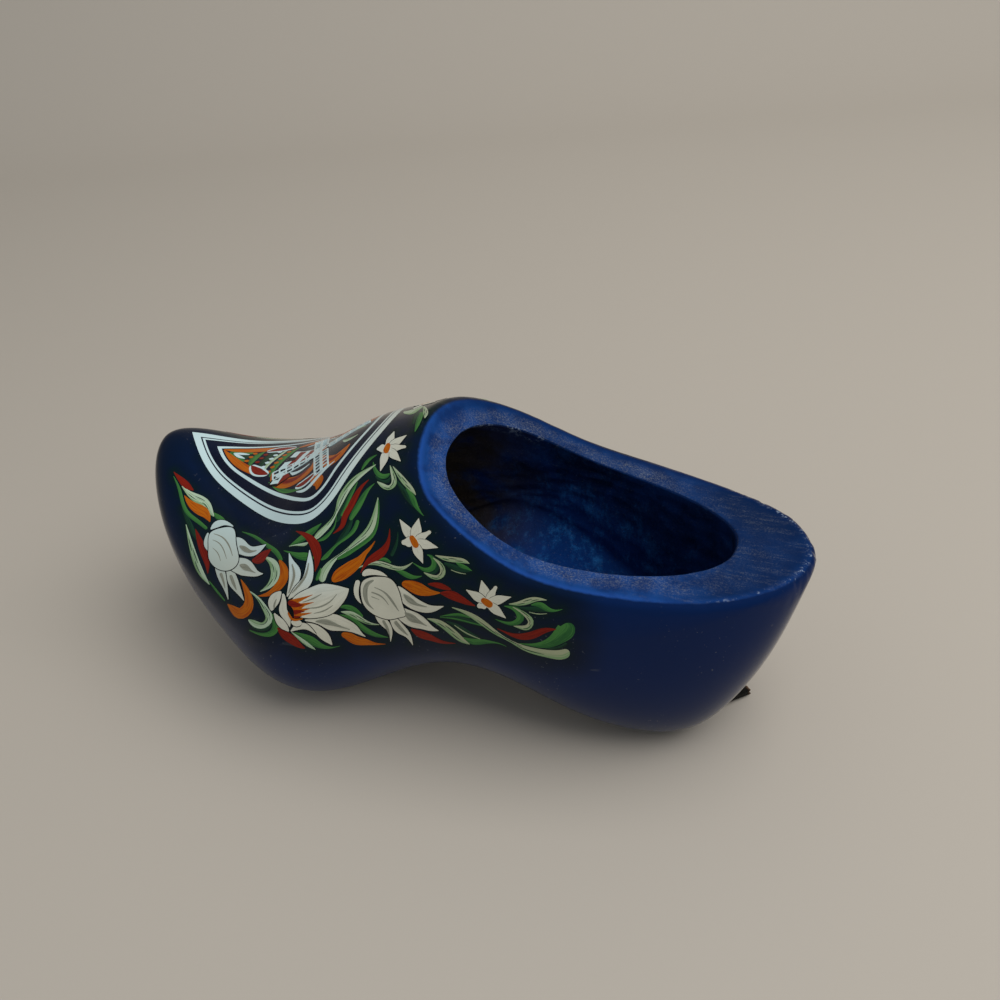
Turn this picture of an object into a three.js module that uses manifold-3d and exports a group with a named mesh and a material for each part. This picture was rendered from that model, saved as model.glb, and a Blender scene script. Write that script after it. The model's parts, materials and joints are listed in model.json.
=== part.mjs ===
// A souvenir clog: a block of wood carved to the shape of a shoe, with a hollow for the foot and
// a rim cut round its mouth. A short leather tab lies in a groove under the heel, where one tack
// holds it, and its cut end shows behind the heel.
// Sizes are millimetres. The toe points along -X and +Z is up. The origin is on the surface that
// the clog stands on, under the middle of its length.

import * as THREE from 'three';
import { mergeVertices, toCreasedNormals } from 'three/addons/utils/BufferGeometryUtils.js';
import Module from 'manifold-3d';

const clog_length = 160;
const clearance = 0.3;

// Heights under and over the middle of the clog, and heights of its widest part and of its rim.
const toe_underside = 38.4;
const ball_dip = -1.2;
const arch_height = 11.7;
const heel_dip = -1.2;
const heel_underside = 39.2;
const toe_top = 60.2;
const vamp_hollow = 46.7;
const instep_height = 72.9;
const heel_top = 50.6;
const toe_tip_height = 44.5;
const forefoot_widest_height = 25.4;
const instep_widest_height = 38.1;
const rim_start_height = 97.6;
const rim_at_throat = 69.1;
const rim_at_waist = 47.2;
const rim_lowest = 46.3;
const rim_at_heel = 47.2;

// Widths of the block, before its two ends are rounded.
const toe_tip_width = 31.8;
const forefoot_width = 75.4;
const waist_width = 56.8;
const heel_width = 51.6;
const heel_end_width = 46.4;

// The outlines run from the toe tip, 0, to the back of the heel, 1. Each point is a share of the
// clog's length and a size, and a point between two named sizes lies part of the way from one to
// the other. A smooth curve goes through the points.
const part_way = THREE.MathUtils.lerp;

// Underside along the middle. It dips below the floor twice, and the sole is planed flat there.
const sole_line = [
  [0, toe_underside],
  [0.06, 0.711 * toe_underside],
  [0.135, 0.365 * toe_underside],
  [0.225, 0.141 * toe_underside],
  [0.325, ball_dip],
  [0.425, 0.376 * arch_height],
  [0.525, arch_height],
  [0.625, 0.846 * arch_height],
  [0.725, 0.188 * arch_height],
  [0.81, heel_dip],
  [0.89, 0.105 * heel_underside],
  [0.94, 0.423 * heel_underside],
  [0.975, 0.712 * heel_underside],
  [1, heel_underside],
];

// Top of the block along the middle, before the rim is cut.
const top_line = [
  [0, toe_top],
  [0.08, part_way(toe_top, vamp_hollow, 0.86)],
  [0.165, vamp_hollow],
  [0.265, part_way(vamp_hollow, instep_height, 0.172)],
  [0.365, part_way(vamp_hollow, instep_height, 0.546)],
  [0.45, part_way(vamp_hollow, instep_height, 0.771)],
  [0.54, instep_height],
  [0.75, part_way(instep_height, heel_top, 0.305)],
  [1, heel_top],
];

// Height of the widest part of each cross-section. At the back of the heel it is the rim.
const widest_line = [
  [0, toe_tip_height],
  [0.03, part_way(toe_tip_height, forefoot_widest_height, 0.23)],
  [0.08, part_way(toe_tip_height, forefoot_widest_height, 0.497)],
  [0.16, part_way(toe_tip_height, forefoot_widest_height, 0.775)],
  [0.28, forefoot_widest_height],
  [0.4, part_way(forefoot_widest_height, instep_widest_height, 0.465)],
  [0.5, part_way(forefoot_widest_height, instep_widest_height, 0.882)],
  [0.62, instep_widest_height],
  [0.75, part_way(forefoot_widest_height, instep_widest_height, 0.945)],
  [0.88, part_way(instep_widest_height, rim_at_heel, 0.396)],
  [1, rim_at_heel],
];

const width_line = [
  [0, toe_tip_width],
  [0.1, part_way(toe_tip_width, forefoot_width, 0.372)],
  [0.2, part_way(toe_tip_width, forefoot_width, 0.748)],
  [0.3, forefoot_width],
  [0.42, part_way(forefoot_width, waist_width, 0.452)],
  [0.55, part_way(forefoot_width, waist_width, 0.935)],
  [0.7, waist_width],
  [0.85, heel_width],
  [1, heel_end_width],
];

// The rim is cut level from side to side. The cut starts above the instep and comes down
// steeply through its top.
const rim_line = [
  [0.41, rim_start_height],
  [0.475, rim_at_throat],
  [0.54, part_way(rim_at_throat, rim_at_waist, 0.461)],
  [0.64, part_way(rim_at_throat, rim_at_waist, 0.836)],
  [0.76, rim_at_waist],
  [0.88, rim_lowest],
  [1, rim_at_heel],
];

// Cross-sections are rounded squares: 2 is an ellipse, and a higher number has fuller corners.
const lower_squareness = 2.7;
const upper_squareness = 1.85;

// How far back from each end the rounding of that end reaches, seen from above and from the side.
const toe_plan_round = 28;
const heel_plan_round = 54;
const toe_side_round = 19.8;
const heel_side_round = 14;

// Mouth of the hollow, set in from the outside of the block by the widths of the rim.
const throat_rim = 5.4;
const side_rim = 7.9;
const heel_rim = 16.5;
const mouth_squareness = 2.29;
const mouth_taper = 0.21;
const outer_edge_round = 1.8;
const inner_edge_round = 0.9;

// Hollow for the foot: a bed that follows the sole, and walls that curve from the mouth to it.
const sole_thickness = 10;
const bed_toe_wall = 29;
const bed_heel_wall = 19;
const bed_width = 46;
const bed_taper = 0.22;
const bed_corner = 8;
const wall_bulge = 1.6;

// Leather tab under the heel, and the groove that it lies in.
const tab_length = 24;
const tab_width = 5.5;
const tab_thickness = 1.8;
const tab_corner = 0.6;
const tab_angle = THREE.MathUtils.degToRad(49);
const tab_end_from_heel_back = 12;
const tab_end_to_side = 8.4;

// Tack through the tab, with its head in the groove and its shank in the wood.
const tack_shank = 1.3;
const tack_shank_length = 5;
const tack_head = 3.8;
const tack_head_height = 0.7;
const tack_inset = 5;

const points_around = 64;
const outside_rings = 34;
const edge_steps = 3;
const wall_rings = 8;
const corner_rings = 5;
const tack_sides = 16;
const head_rings = 4;
const crease_angle = THREE.MathUtils.degToRad(35);

// How close a search comes, how far apart merged corners may lie, and the least divisor.
const near_enough = 1e-5;
const weld_distance = 1e-4;
const least_divisor = 1e-6;

const wasm = await Module();
wasm.setup();

// Natural cubic spline through [share of the length, size] points, as a function of x in mm.
function smooth_line(points) {
  const x = points.map((point) => point[0] * clog_length);
  const y = points.map((point) => point[1]);
  const last = x.length - 1;
  const bend = new Array(last + 1).fill(0);
  const carried = new Array(last + 1).fill(0);
  for (let i = 1; i < last; i++) {
    const left = x[i] - x[i - 1];
    const right = x[i + 1] - x[i];
    const kink = 6 * ((y[i + 1] - y[i]) / right - (y[i] - y[i - 1]) / left);
    const pivot = 2 * (left + right) - left * carried[i - 1];
    carried[i] = right / pivot;
    bend[i] = (kink - left * bend[i - 1]) / pivot;
  }
  for (let i = last - 1; i > 0; i--) bend[i] -= carried[i] * bend[i + 1];
  return (at) => {
    let i = 0;
    while (i < last - 1 && at > x[i + 1]) i++;
    const step = x[i + 1] - x[i];
    const before = (x[i + 1] - at) / step;
    const after = (at - x[i]) / step;
    const curve = (before ** 3 - before) * bend[i] + (after ** 3 - after) * bend[i + 1];
    return before * y[i] + after * y[i + 1] + (curve * step * step) / 6;
  };
}

const sole_at = smooth_line(sole_line);
const top_at = smooth_line(top_line);
const widest_at = smooth_line(widest_line);
const width_at = smooth_line(width_line);
const rim_at = smooth_line(rim_line);

// Share of the full size that a rounded end leaves at a distance from that end.
function rounded_end(distance, reach) {
  const inside = THREE.MathUtils.clamp(1 - distance / reach, 0, 1);
  return Math.sqrt(1 - inside ** 3);
}

// Half width, middle height, and the heights below and above it, of the cross-section at x.
function cross_section(x) {
  const back = clog_length - x;
  const plan = rounded_end(x, toe_plan_round) * rounded_end(back, heel_plan_round);
  const side = rounded_end(x, toe_side_round) * rounded_end(back, heel_side_round);
  const middle = widest_at(x);
  return {
    half_width: (width_at(x) / 2) * plan,
    middle,
    below: (middle - sole_at(x)) * side,
    above: (top_at(x) - middle) * side,
  };
}

// Distance from the centre to a unit rounded square, in the direction of an angle.
function rounded_square(angle, squareness) {
  const reach = Math.abs(Math.sin(angle)) ** squareness + Math.abs(Math.cos(angle)) ** squareness;
  return reach ** (-1 / squareness);
}

// Half width of the outside at x, at the height of the rim.
function half_width_at_rim(x) {
  const { half_width, middle, below, above } = cross_section(x);
  const rise = rim_at(x) - middle;
  const squareness = rise > 0 ? upper_squareness : lower_squareness;
  const share = Math.min(Math.abs(rise) / Math.max(rise > 0 ? above : below, least_divisor), 1);
  return half_width * (1 - share ** squareness) ** (1 / squareness);
}

// Where a function turns from negative to positive, by halving the stretch that holds the turn.
function turning_point(low, high, value) {
  while (high - low > near_enough) {
    const middle = (low + high) / 2;
    if (value(middle) < 0) low = middle;
    else high = middle;
  }
  return low;
}

// Where the rim's cut comes out through the top of the instep.
const throat = turning_point(
  rim_line[0][0] * clog_length,
  rim_line[2][0] * clog_length,
  (x) => top_at(x) - rim_at(x),
);

// The block is a ball drawn out into a clog: each direction from the ball's centre has its point
// on the block. The direction's x gives the cross-section and its turn about X the place round it.
function block_point(direction) {
  const x = (clog_length / 2) * (1 + direction.x);
  const angle = Math.atan2(direction.y, -direction.z);
  const { half_width, middle, below, above } = cross_section(x);
  const is_lower = Math.cos(angle) > 0;
  const reach = rounded_square(angle, is_lower ? lower_squareness : upper_squareness);
  const y = half_width * reach * Math.sin(angle);
  const z = middle - (is_lower ? below : above) * reach * Math.cos(angle);
  return new THREE.Vector3(x, y, z);
}

// The other way round: the direction that a point on the block belongs to.
function block_direction(point) {
  const { half_width, middle, below, above } = cross_section(point.x);
  const drop = middle - point.z;
  const across = point.y / Math.max(half_width, least_divisor);
  const down = drop / Math.max(drop > 0 ? below : above, least_divisor);
  const along = THREE.MathUtils.clamp((2 * point.x) / clog_length - 1, -1, 1);
  const off_axis = Math.max(Math.hypot(across, down), least_divisor);
  const around = Math.sqrt(1 - along * along) / off_axis;
  return new THREE.Vector3(along, across * around, -down * around).normalize();
}

// Closed surface over a stack of rings, with a fan of triangles to a point at each end.
function ring_geometry(start, rings, end) {
  const count = rings[0].length;
  const last = rings.length * count + 1;
  const faces = [];
  for (let i = 0; i < count; i++) {
    const next = (i + 1) % count;
    faces.push(0, 1 + next, 1 + i);
    for (let ring = 0; ring < rings.length - 1; ring++) {
      const low = 1 + ring * count;
      const high = low + count;
      faces.push(low + i, low + next, high + next, low + i, high + next, high + i);
    }
    faces.push(last, last - count + i, last - count + next);
  }
  const geometry = new THREE.BufferGeometry();
  const positions = [start, ...rings.flat(), end].flatMap((point) => point.toArray());
  geometry.setAttribute('position', new THREE.Float32BufferAttribute(positions, 3));
  geometry.setIndex(faces);
  return geometry;
}

function to_solid(geometry) {
  const plain = geometry.clone();
  plain.deleteAttribute('normal');
  plain.deleteAttribute('uv');
  const merged = mergeVertices(plain, weld_distance);
  return new wasm.Manifold(new wasm.Mesh({
    numProp: 3,
    vertProperties: merged.attributes.position.array,
    triVerts: Uint32Array.from(merged.index.array),
  }));
}

function to_geometry(solid) {
  const { vertProperties, triVerts } = solid.getMesh();
  const geometry = new THREE.BufferGeometry();
  geometry.setAttribute('position', new THREE.BufferAttribute(vertProperties, 3));
  geometry.setIndex(new THREE.BufferAttribute(triVerts, 1));
  return toCreasedNormals(geometry, crease_angle);
}

// All that lies below the surface that the clog stands on.
function below_floor_geometry() {
  return new THREE.BoxGeometry(2 * clog_length, 2 * forefoot_width, clog_length)
    .translate(clog_length / 2, 0, -clog_length / 2);
}

// Outline of the mouth or of the bed, seen from above: a rounded square that narrows backwards.
function plan_point(angle, front, back, half_width, taper) {
  const reach = rounded_square(angle, mouth_squareness);
  const x = (front + back) / 2 + ((back - front) / 2) * reach * Math.cos(angle);
  const y = half_width * reach * Math.sin(angle) * (1 - taper * Math.cos(angle));
  return new THREE.Vector2(x, y);
}

const mouth_front = throat + throat_rim;
const mouth_back = clog_length - heel_rim;
const mouth_middle = (mouth_front + mouth_back) / 2;
const mouth_half_width = half_width_at_rim(mouth_middle) - side_rim;
const bed_front = bed_toe_wall;
const bed_back = clog_length - bed_heel_wall;
const bed_middle = (bed_front + bed_back) / 2;

function on_rim(plan) {
  return new THREE.Vector3(plan.x, plan.y, rim_at(plan.x));
}

function bed_at(x) {
  return Math.max(sole_at(x), 0) + sole_thickness;
}

// Outer edge of the rim, straight out from the middle of the mouth past one of its points.
function rim_edge(mouth) {
  const centre = new THREE.Vector2(mouth_middle, 0);
  const way = mouth.clone().sub(centre).normalize();
  const room = way.x > 0 ? clog_length - mouth_middle : mouth_middle - throat;
  const furthest = Math.min(room / Math.abs(way.x), forefoot_width);
  const distance = turning_point(0, furthest, (reach) => {
    const at = centre.clone().addScaledVector(way, reach);
    return Math.abs(at.y) - half_width_at_rim(at.x);
  });
  return on_rim(centre.addScaledVector(way, distance));
}

// Points of a rounded edge: a curve that is drawn towards the sharp edge between its two ends.
function rounded_edge(start, edge, end) {
  return new THREE.QuadraticBezierCurve3(start, edge, end).getPoints(edge_steps);
}

// The rings of the outside close up under the toe.
const under_toe = new THREE.Vector3(-1, 0, -1).normalize();

// The outside, from near the point under the toe to the start of the rim's rounded edge.
function outside_points(edge) {
  const start = block_direction(edge);
  const turn = start.angleTo(under_toe);
  const axis = start.clone().cross(under_toe).normalize();
  const point_at = (share) => block_point(start.clone().applyAxisAngle(axis, turn * share));
  const nudge = 0.01;
  const speed = point_at(nudge).distanceTo(edge) / nudge;
  const first = outer_edge_round / speed;
  const points = [];
  for (let ring = 1; ring <= outside_rings; ring++) {
    points.push(point_at(1 - ((1 - first) * ring) / outside_rings));
  }
  return points;
}

// The hollow's wall from the mouth down, then round a corner and in over the bed.
function hollow_points(angle, mouth) {
  const bed = plan_point(angle, bed_front, bed_back, bed_width / 2, bed_taper);
  const top = rim_at(mouth.x);
  const foot = bed_at(bed.x) + bed_corner;
  const points = [];
  for (let ring = 0; ring <= wall_rings; ring++) {
    const share = ring / wall_rings;
    const plan = mouth.clone().lerp(bed, share);
    points.push(new THREE.Vector3(plan.x, plan.y, top + (foot - top) * share ** wall_bulge));
  }
  for (let ring = 1; ring < corner_rings; ring++) {
    const turn = (Math.PI / 2) * (ring / corner_rings);
    const x = bed_middle + (bed.x - bed_middle) * Math.cos(turn);
    const z = bed_at(x) + bed_corner * (1 - Math.sin(turn));
    points.push(new THREE.Vector3(x, bed.y * Math.cos(turn), z));
  }
  return points;
}

// One line over the whole body: up the outside, over the rim and down into the hollow.
function body_profile(angle) {
  const mouth = plan_point(angle, mouth_front, mouth_back, mouth_half_width, mouth_taper);
  const edge = rim_edge(mouth);
  const lip = on_rim(mouth);
  const inwards = lip.clone().sub(edge).normalize();
  const outside = outside_points(edge);
  const hollow = hollow_points(angle, mouth);
  const rim_outer = edge.clone().addScaledVector(inwards, outer_edge_round);
  const rim_inner = lip.clone().addScaledVector(inwards, -inner_edge_round);
  const downwards = hollow[1].clone().sub(lip).normalize();
  const wall_top = lip.clone().addScaledVector(downwards, inner_edge_round);
  return [
    ...outside.slice(0, -1),
    ...rounded_edge(outside.at(-1), edge, rim_outer),
    ...rounded_edge(rim_inner, lip, wall_top),
    ...hollow.slice(1),
  ];
}

function body_geometry() {
  const profiles = [];
  for (let i = 0; i < points_around; i++) {
    profiles.push(body_profile((2 * Math.PI * i) / points_around));
  }
  const rings = profiles[0].map((_, ring) => profiles.map((profile) => profile[ring]));
  const bed_centre = new THREE.Vector3(bed_middle, 0, bed_at(bed_middle));
  return ring_geometry(block_point(under_toe), rings, bed_centre);
}

// Heights under the heel, from the floor up: tack head, tab, and the top of the groove.
const head_bottom = clearance;
const tab_bottom = head_bottom + tack_head_height + clearance;
const groove_top = tab_bottom + tab_thickness + clearance;
const tack_x = tack_inset - tab_length;

// Turns a shape drawn with the tab's cut end at x = 0 and the tab along -X into its place.
function place_under_heel(object) {
  object.rotation.z = tab_angle;
  object.position.set(clog_length - tab_end_from_heel_back, tab_end_to_side, 0);
  object.updateMatrix();
  return object;
}

// The groove ends just past the tab's inner end, and runs out through the heel's rising back.
function groove_geometry() {
  const inner_end = -tab_length - clearance;
  const outer_end = tab_length / 2;
  return new THREE.BoxGeometry(outer_end - inner_end, tab_width + 2 * clearance, 2 * groove_top)
    .translate((inner_end + outer_end) / 2, 0, 0);
}

function tack_hole_geometry() {
  const top = head_bottom + tack_head_height + tack_shank_length + clearance;
  const radius = tack_shank / 2 + clearance;
  return new THREE.CylinderGeometry(radius, radius, top, tack_sides)
    .rotateX(Math.PI / 2)
    .translate(tack_x, 0, top / 2);
}

function tab_geometry() {
  const half = tab_width / 2;
  const outline = new THREE.Shape();
  outline.moveTo(0, -half + tab_corner);
  outline.lineTo(0, half - tab_corner);
  outline.lineTo(-tab_corner, half);
  outline.lineTo(-tab_length, half);
  outline.lineTo(-tab_length, -half);
  outline.lineTo(-tab_corner, -half);
  const hole = new THREE.Path();
  hole.absarc(tack_x, 0, tack_shank / 2 + clearance, 0, 2 * Math.PI, true);
  outline.holes.push(hole);
  const curveSegments = tack_sides / 2;
  return new THREE.ExtrudeGeometry(outline, {
    depth: tab_thickness,
    bevelEnabled: false,
    curveSegments,
  }).translate(0, 0, tab_bottom);
}

// A round-headed tack, head down: a profile turned about its own length.
function tack_geometry() {
  const head_top = head_bottom + tack_head_height;
  const tip = head_top + tack_shank_length;
  const point_start = tip - tack_shank;
  const profile = [];
  for (let ring = 0; ring <= head_rings; ring++) {
    const turn = (Math.PI / 2) * (ring / head_rings);
    const radius = (tack_head / 2) * Math.sin(turn);
    profile.push(new THREE.Vector2(radius, head_top - tack_head_height * Math.cos(turn)));
  }
  profile.push(
    new THREE.Vector2(tack_shank / 2, head_top),
    new THREE.Vector2(tack_shank / 2, point_start),
    new THREE.Vector2(0, tip),
  );
  return new THREE.LatheGeometry(profile, tack_sides).rotateX(Math.PI / 2).translate(tack_x, 0, 0);
}

function carve_body() {
  const place = place_under_heel(new THREE.Object3D()).matrix;
  const cuts = [
    below_floor_geometry(),
    groove_geometry().applyMatrix4(place),
    tack_hole_geometry().applyMatrix4(place),
  ];
  let body = to_solid(body_geometry());
  for (const cut of cuts) body = body.subtract(to_solid(cut));
  return to_geometry(body);
}

const lacquered_wood = new THREE.MeshStandardMaterial({
  color: new THREE.Color(0.012, 0.03, 0.19),
  roughness: 0.25,
  metalness: 0,
});
const dark_leather = new THREE.MeshStandardMaterial({
  color: new THREE.Color(0.012, 0.009, 0.008),
  roughness: 0.7,
  metalness: 0,
});
const tack_steel = new THREE.MeshStandardMaterial({
  color: new THREE.Color(0.35, 0.34, 0.33),
  roughness: 0.4,
  metalness: 1,
});

function named_mesh(name, geometry, material) {
  const mesh = new THREE.Mesh(geometry, material);
  mesh.name = name;
  return mesh;
}

const clog = new THREE.Group();
clog.add(named_mesh('clog_body', carve_body(), lacquered_wood));
clog.add(place_under_heel(named_mesh('heel_tab', tab_geometry(), dark_leather)));
clog.add(place_under_heel(named_mesh('tab_tack', tack_geometry(), tack_steel)));
clog.position.x = -clog_length / 2;
clog.updateMatrixWorld(true);

const souvenir_clog = new THREE.Group();
souvenir_clog.add(clog);

export default souvenir_clog;
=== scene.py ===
# %% [markdown]
# A small painted clog, such as a traveller brings home. It is one block of light wood, carved,
# hollowed, lacquered blue and painted with white flowers, and a leather tab is tacked under its
# heel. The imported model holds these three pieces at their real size. Here they get their finish:
# fine surfaces worked out with numpy, and paint as thin films that lie on the wood.

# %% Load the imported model
import json
import math

import bpy
import numpy as np
from mathutils import Matrix, Vector

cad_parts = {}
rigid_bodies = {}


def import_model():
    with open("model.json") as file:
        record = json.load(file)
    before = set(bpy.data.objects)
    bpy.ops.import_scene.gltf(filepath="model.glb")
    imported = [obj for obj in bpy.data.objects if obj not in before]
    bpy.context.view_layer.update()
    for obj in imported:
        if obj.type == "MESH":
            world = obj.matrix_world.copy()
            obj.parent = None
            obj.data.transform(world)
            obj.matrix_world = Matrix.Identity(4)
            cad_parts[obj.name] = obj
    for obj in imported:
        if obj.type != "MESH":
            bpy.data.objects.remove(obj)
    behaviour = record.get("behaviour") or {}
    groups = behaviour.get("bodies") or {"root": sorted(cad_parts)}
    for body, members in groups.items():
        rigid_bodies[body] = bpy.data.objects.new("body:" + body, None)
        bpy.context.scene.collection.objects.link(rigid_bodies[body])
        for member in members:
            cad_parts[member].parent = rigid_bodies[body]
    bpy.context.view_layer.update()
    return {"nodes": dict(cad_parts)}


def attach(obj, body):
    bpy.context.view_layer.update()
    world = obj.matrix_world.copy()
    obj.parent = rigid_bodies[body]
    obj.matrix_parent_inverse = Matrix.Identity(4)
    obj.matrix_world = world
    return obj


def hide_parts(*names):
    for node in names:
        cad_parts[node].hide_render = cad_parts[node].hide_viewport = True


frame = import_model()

# %% [markdown]
# The camera comes first, because the painted strokes are placed through it. A camera could be
# turned towards the clog with a Track To constraint. Its axes are written out here instead, from
# an azimuth, a height angle and a small roll, so that the same axes serve to cast a stroke from
# the picture onto the wood. Lengths are millimetres until a mesh is made.

# %% The camera and its picture plane
clog_length = 160
picture_size = 1000
focal_pixels = 1100
sensor_width = 36
camera_azimuth = math.radians(24.12)
camera_height_angle = math.radians(34.72)
camera_roll = math.radians(-4.58)
camera_distance = 314.3
camera_target = np.array([67.66, 51.99, 8.58])

camera_back = np.array([
    math.sin(camera_azimuth) * math.cos(camera_height_angle),
    -math.cos(camera_azimuth) * math.cos(camera_height_angle),
    math.sin(camera_height_angle),
])
level_right = np.array([math.cos(camera_azimuth), math.sin(camera_azimuth), 0])
level_up = np.cross(camera_back, level_right)
camera_right = level_right * math.cos(camera_roll) + level_up * math.sin(camera_roll)
camera_up = level_up * math.cos(camera_roll) - level_right * math.sin(camera_roll)
camera_place = camera_target + camera_back * camera_distance


frame_origin = np.array([clog_length / 2, 0, 0])
mm_in_metre = 1000


def to_frame(points):
    """From millimetres behind the toe to metres from the middle of the clog, as the frame has it."""
    return (points - frame_origin) / mm_in_metre


def from_frame(points):
    """The way back, to millimetres behind the toe."""
    return points * mm_in_metre + frame_origin


camera_data = bpy.data.cameras.new("camera")
camera_data.lens = focal_pixels / picture_size * sensor_width
camera_data.sensor_width = sensor_width
camera_data.clip_start = 0.01
camera = bpy.data.objects.new("camera", camera_data)
bpy.context.scene.collection.objects.link(camera)
camera.matrix_world = Matrix.Translation(Vector(to_frame(camera_place))) @ Matrix(
    np.stack([camera_right, camera_up, camera_back], 1).tolist()
).to_4x4()
bpy.context.scene.camera = camera
print("lens:", round(camera_data.lens, 1), "mm")

# %% [markdown]
# A souvenir clog is carved from one block of light wood. Its shape is given by five lines along
# its length: underside, top, height of the widest place, width and rim. A sculptor would push a
# subdivided cube into these lines. Here each line is a smooth curve through a few sizes in
# millimetres, because then every point of the surface comes from one formula.

# %% The outlines of the clog

# Shares of the length from the toe, and the height or width there in millimetres.
sole_points = [
    (0, 38.4), (0.06, 27.3), (0.135, 14.0), (0.225, 5.4), (0.325, -1.2), (0.425, 4.4), (0.525, 11.7),
    (0.625, 9.9), (0.725, 2.2), (0.81, -1.2), (0.89, 4.1), (0.94, 16.6), (0.975, 27.9), (1, 39.2),
]
top_points = [
    (0, 60.2), (0.08, 48.6), (0.165, 46.7), (0.265, 51.2), (0.365, 61.0), (0.45, 66.9), (0.54, 72.9),
    (0.75, 66.1), (1, 50.6),
]
widest_points = [
    (0, 44.5), (0.03, 40.1), (0.08, 35.0), (0.16, 29.7), (0.28, 25.4), (0.4, 31.3), (0.5, 36.6),
    (0.62, 38.1), (0.75, 37.4), (0.88, 41.7), (1, 47.2),
]
width_points = [
    (0, 31.8), (0.1, 48.0), (0.2, 64.4), (0.3, 75.4), (0.42, 67.0), (0.55, 58.0), (0.7, 56.8),
    (0.85, 51.6), (1, 46.4),
]
rim_points = [
    (0.41, 97.6), (0.475, 69.1), (0.54, 59.0), (0.64, 50.8), (0.76, 47.2), (0.88, 46.3), (1, 47.2),
]


def spline(at, values):
    """Natural cubic spline: straight between neighbours, plus bends that keep the slope smooth."""
    step = np.diff(at)[:, None]
    kink = np.zeros(values.shape)
    kink[1:-1] = 6 * np.diff(np.diff(values, axis=0) / step, axis=0)
    rows = np.eye(len(at))
    inner = np.arange(1, len(at) - 1)
    rows[inner, inner] = 2 * (at[2:] - at[:-2])
    rows[inner, inner - 1] = step[:-1, 0]
    rows[inner, inner + 1] = step[1:, 0]
    bend = np.linalg.solve(rows, kink)

    def value_at(x):
        low = np.clip(np.searchsorted(at, x) - 1, 0, len(step) - 1)
        before = (at[low + 1] - x)[..., None] / step[low]
        after = 1 - before
        curve = (before**3 - before) * bend[low] + (after**3 - after) * bend[low + 1]
        return before * values[low] + after * values[low + 1] + curve * step[low] ** 2 / 6

    return value_at


def smooth_line(points):
    """A size in millimetres for any place along the clog, from a few shares of its length."""
    share, size = np.array(points, float).T
    curve = spline(share * clog_length, size[:, None])
    return lambda x: curve(np.asarray(x, float))[..., 0]


sole_at = smooth_line(sole_points)
top_at = smooth_line(top_points)
widest_at = smooth_line(widest_points)
width_at = smooth_line(width_points)
rim_at = smooth_line(rim_points)
print("height of the instep:", top_at(0.54 * clog_length), "mm")

# %% [markdown]
# Each slice across the clog is a rounded square, fuller below than above. The two ends are
# rounded off by shrinking the slices there. A loft between drawn slices would do the same. The
# formula is kept as a function of the place along the clog and the angle round it, because the
# paint is laid on the same function later.

# %% A point on the block for any place along it and any angle round it
lower_squareness = 2.7
upper_squareness = 1.85
toe_plan_round = 28
heel_plan_round = 54
toe_side_round = 19.8
heel_side_round = 14
tiny = 1e-6
slope_step = 0.05
slope_reach = 30


def rounded_end(distance, reach):
    """Share of the full size at a distance from an end: the root of one less a falling cube."""
    inside = np.clip(1 - distance / reach, 0, 1)
    return np.sqrt(1 - inside**3)


def rounded_square(angle, squareness):
    """Reach of a rounded square at an angle: the powers of sine and cosine add up to one."""
    powers = np.abs(np.sin(angle)) ** squareness + np.abs(np.cos(angle)) ** squareness
    return powers ** (-1 / squareness)


def unit(vectors):
    """The vectors over their own lengths."""
    return vectors / np.maximum(np.linalg.norm(vectors, axis=-1, keepdims=True), tiny)


def cross_section(x):
    """Half width, middle height, and the heights below and above the middle, of the slice at x."""
    back = clog_length - x
    plan = rounded_end(x, toe_plan_round) * rounded_end(back, heel_plan_round)
    side = rounded_end(x, toe_side_round) * rounded_end(back, heel_side_round)
    middle = widest_at(x)
    return width_at(x) / 2 * plan, middle, (middle - sole_at(x)) * side, (top_at(x) - middle) * side


def on_block(x, angle):
    """Point at x whose angle runs round the slice from below: a stretched rounded square."""
    half_width, middle, below, above = cross_section(x)
    is_lower = np.cos(angle) > 0
    squareness = np.where(is_lower, lower_squareness, upper_squareness)
    reach = rounded_square(angle, squareness)
    y = half_width * reach * np.sin(angle)
    z = middle - np.where(is_lower, below, above) * reach * np.cos(angle)
    return np.stack([x, y, z], -1)


def angle_on_block(point):
    """Angle round the slice that a point near the surface belongs to."""
    half_width, middle, below, above = cross_section(point[..., 0])
    across = point[..., 1] / np.maximum(half_width, tiny)
    drop = middle - point[..., 2]
    return np.arctan2(across, drop / np.maximum(np.where(drop > 0, below, above), tiny))


def outwards(x, angle):
    """Unit normal of the block: the cross product of its two slopes, each from a short step."""
    after, before = np.clip([x + slope_step, x - slope_step], 0, clog_length)
    along = on_block(after, angle) - on_block(before, angle)
    turn = slope_step / slope_reach
    around = on_block(x, angle + turn) - on_block(x, angle - turn)
    return unit(np.cross(around, along))


ball_share = sole_points[4][0]
print("underside at the ball:", on_block(ball_share * clog_length, 0.0).round(1), "mm")

# %% [markdown]
# The whole body is one closed surface. From a point under the toe, rings spread over the outside
# up to the rim's outer edge. They go on over the rim, down the walls of the hollow and in to the
# middle of the bed. A modeller would bridge edge loops in this order. Here each ring is a row of
# points, so the seams are closed from the start.

# %% The mouth, the rim and the bed of the hollow
throat_rim = 5.4
side_rim = 7.9
heel_rim = 16.5
mouth_squareness = 2.29
mouth_taper = 0.21
outer_edge_round = 2.1
inner_edge_round = 0.9
sole_thickness = 10
bed_toe_wall = 29
bed_heel_wall = 19
bed_width = 46
bed_taper = 0.22
bed_corner = 8
wall_bulge = 1.3
points_around = 400
outside_rings = 132
edge_rings = 7
rim_rings = 14
wall_rings = 56
corner_rings = 14
halvings = 40


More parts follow.
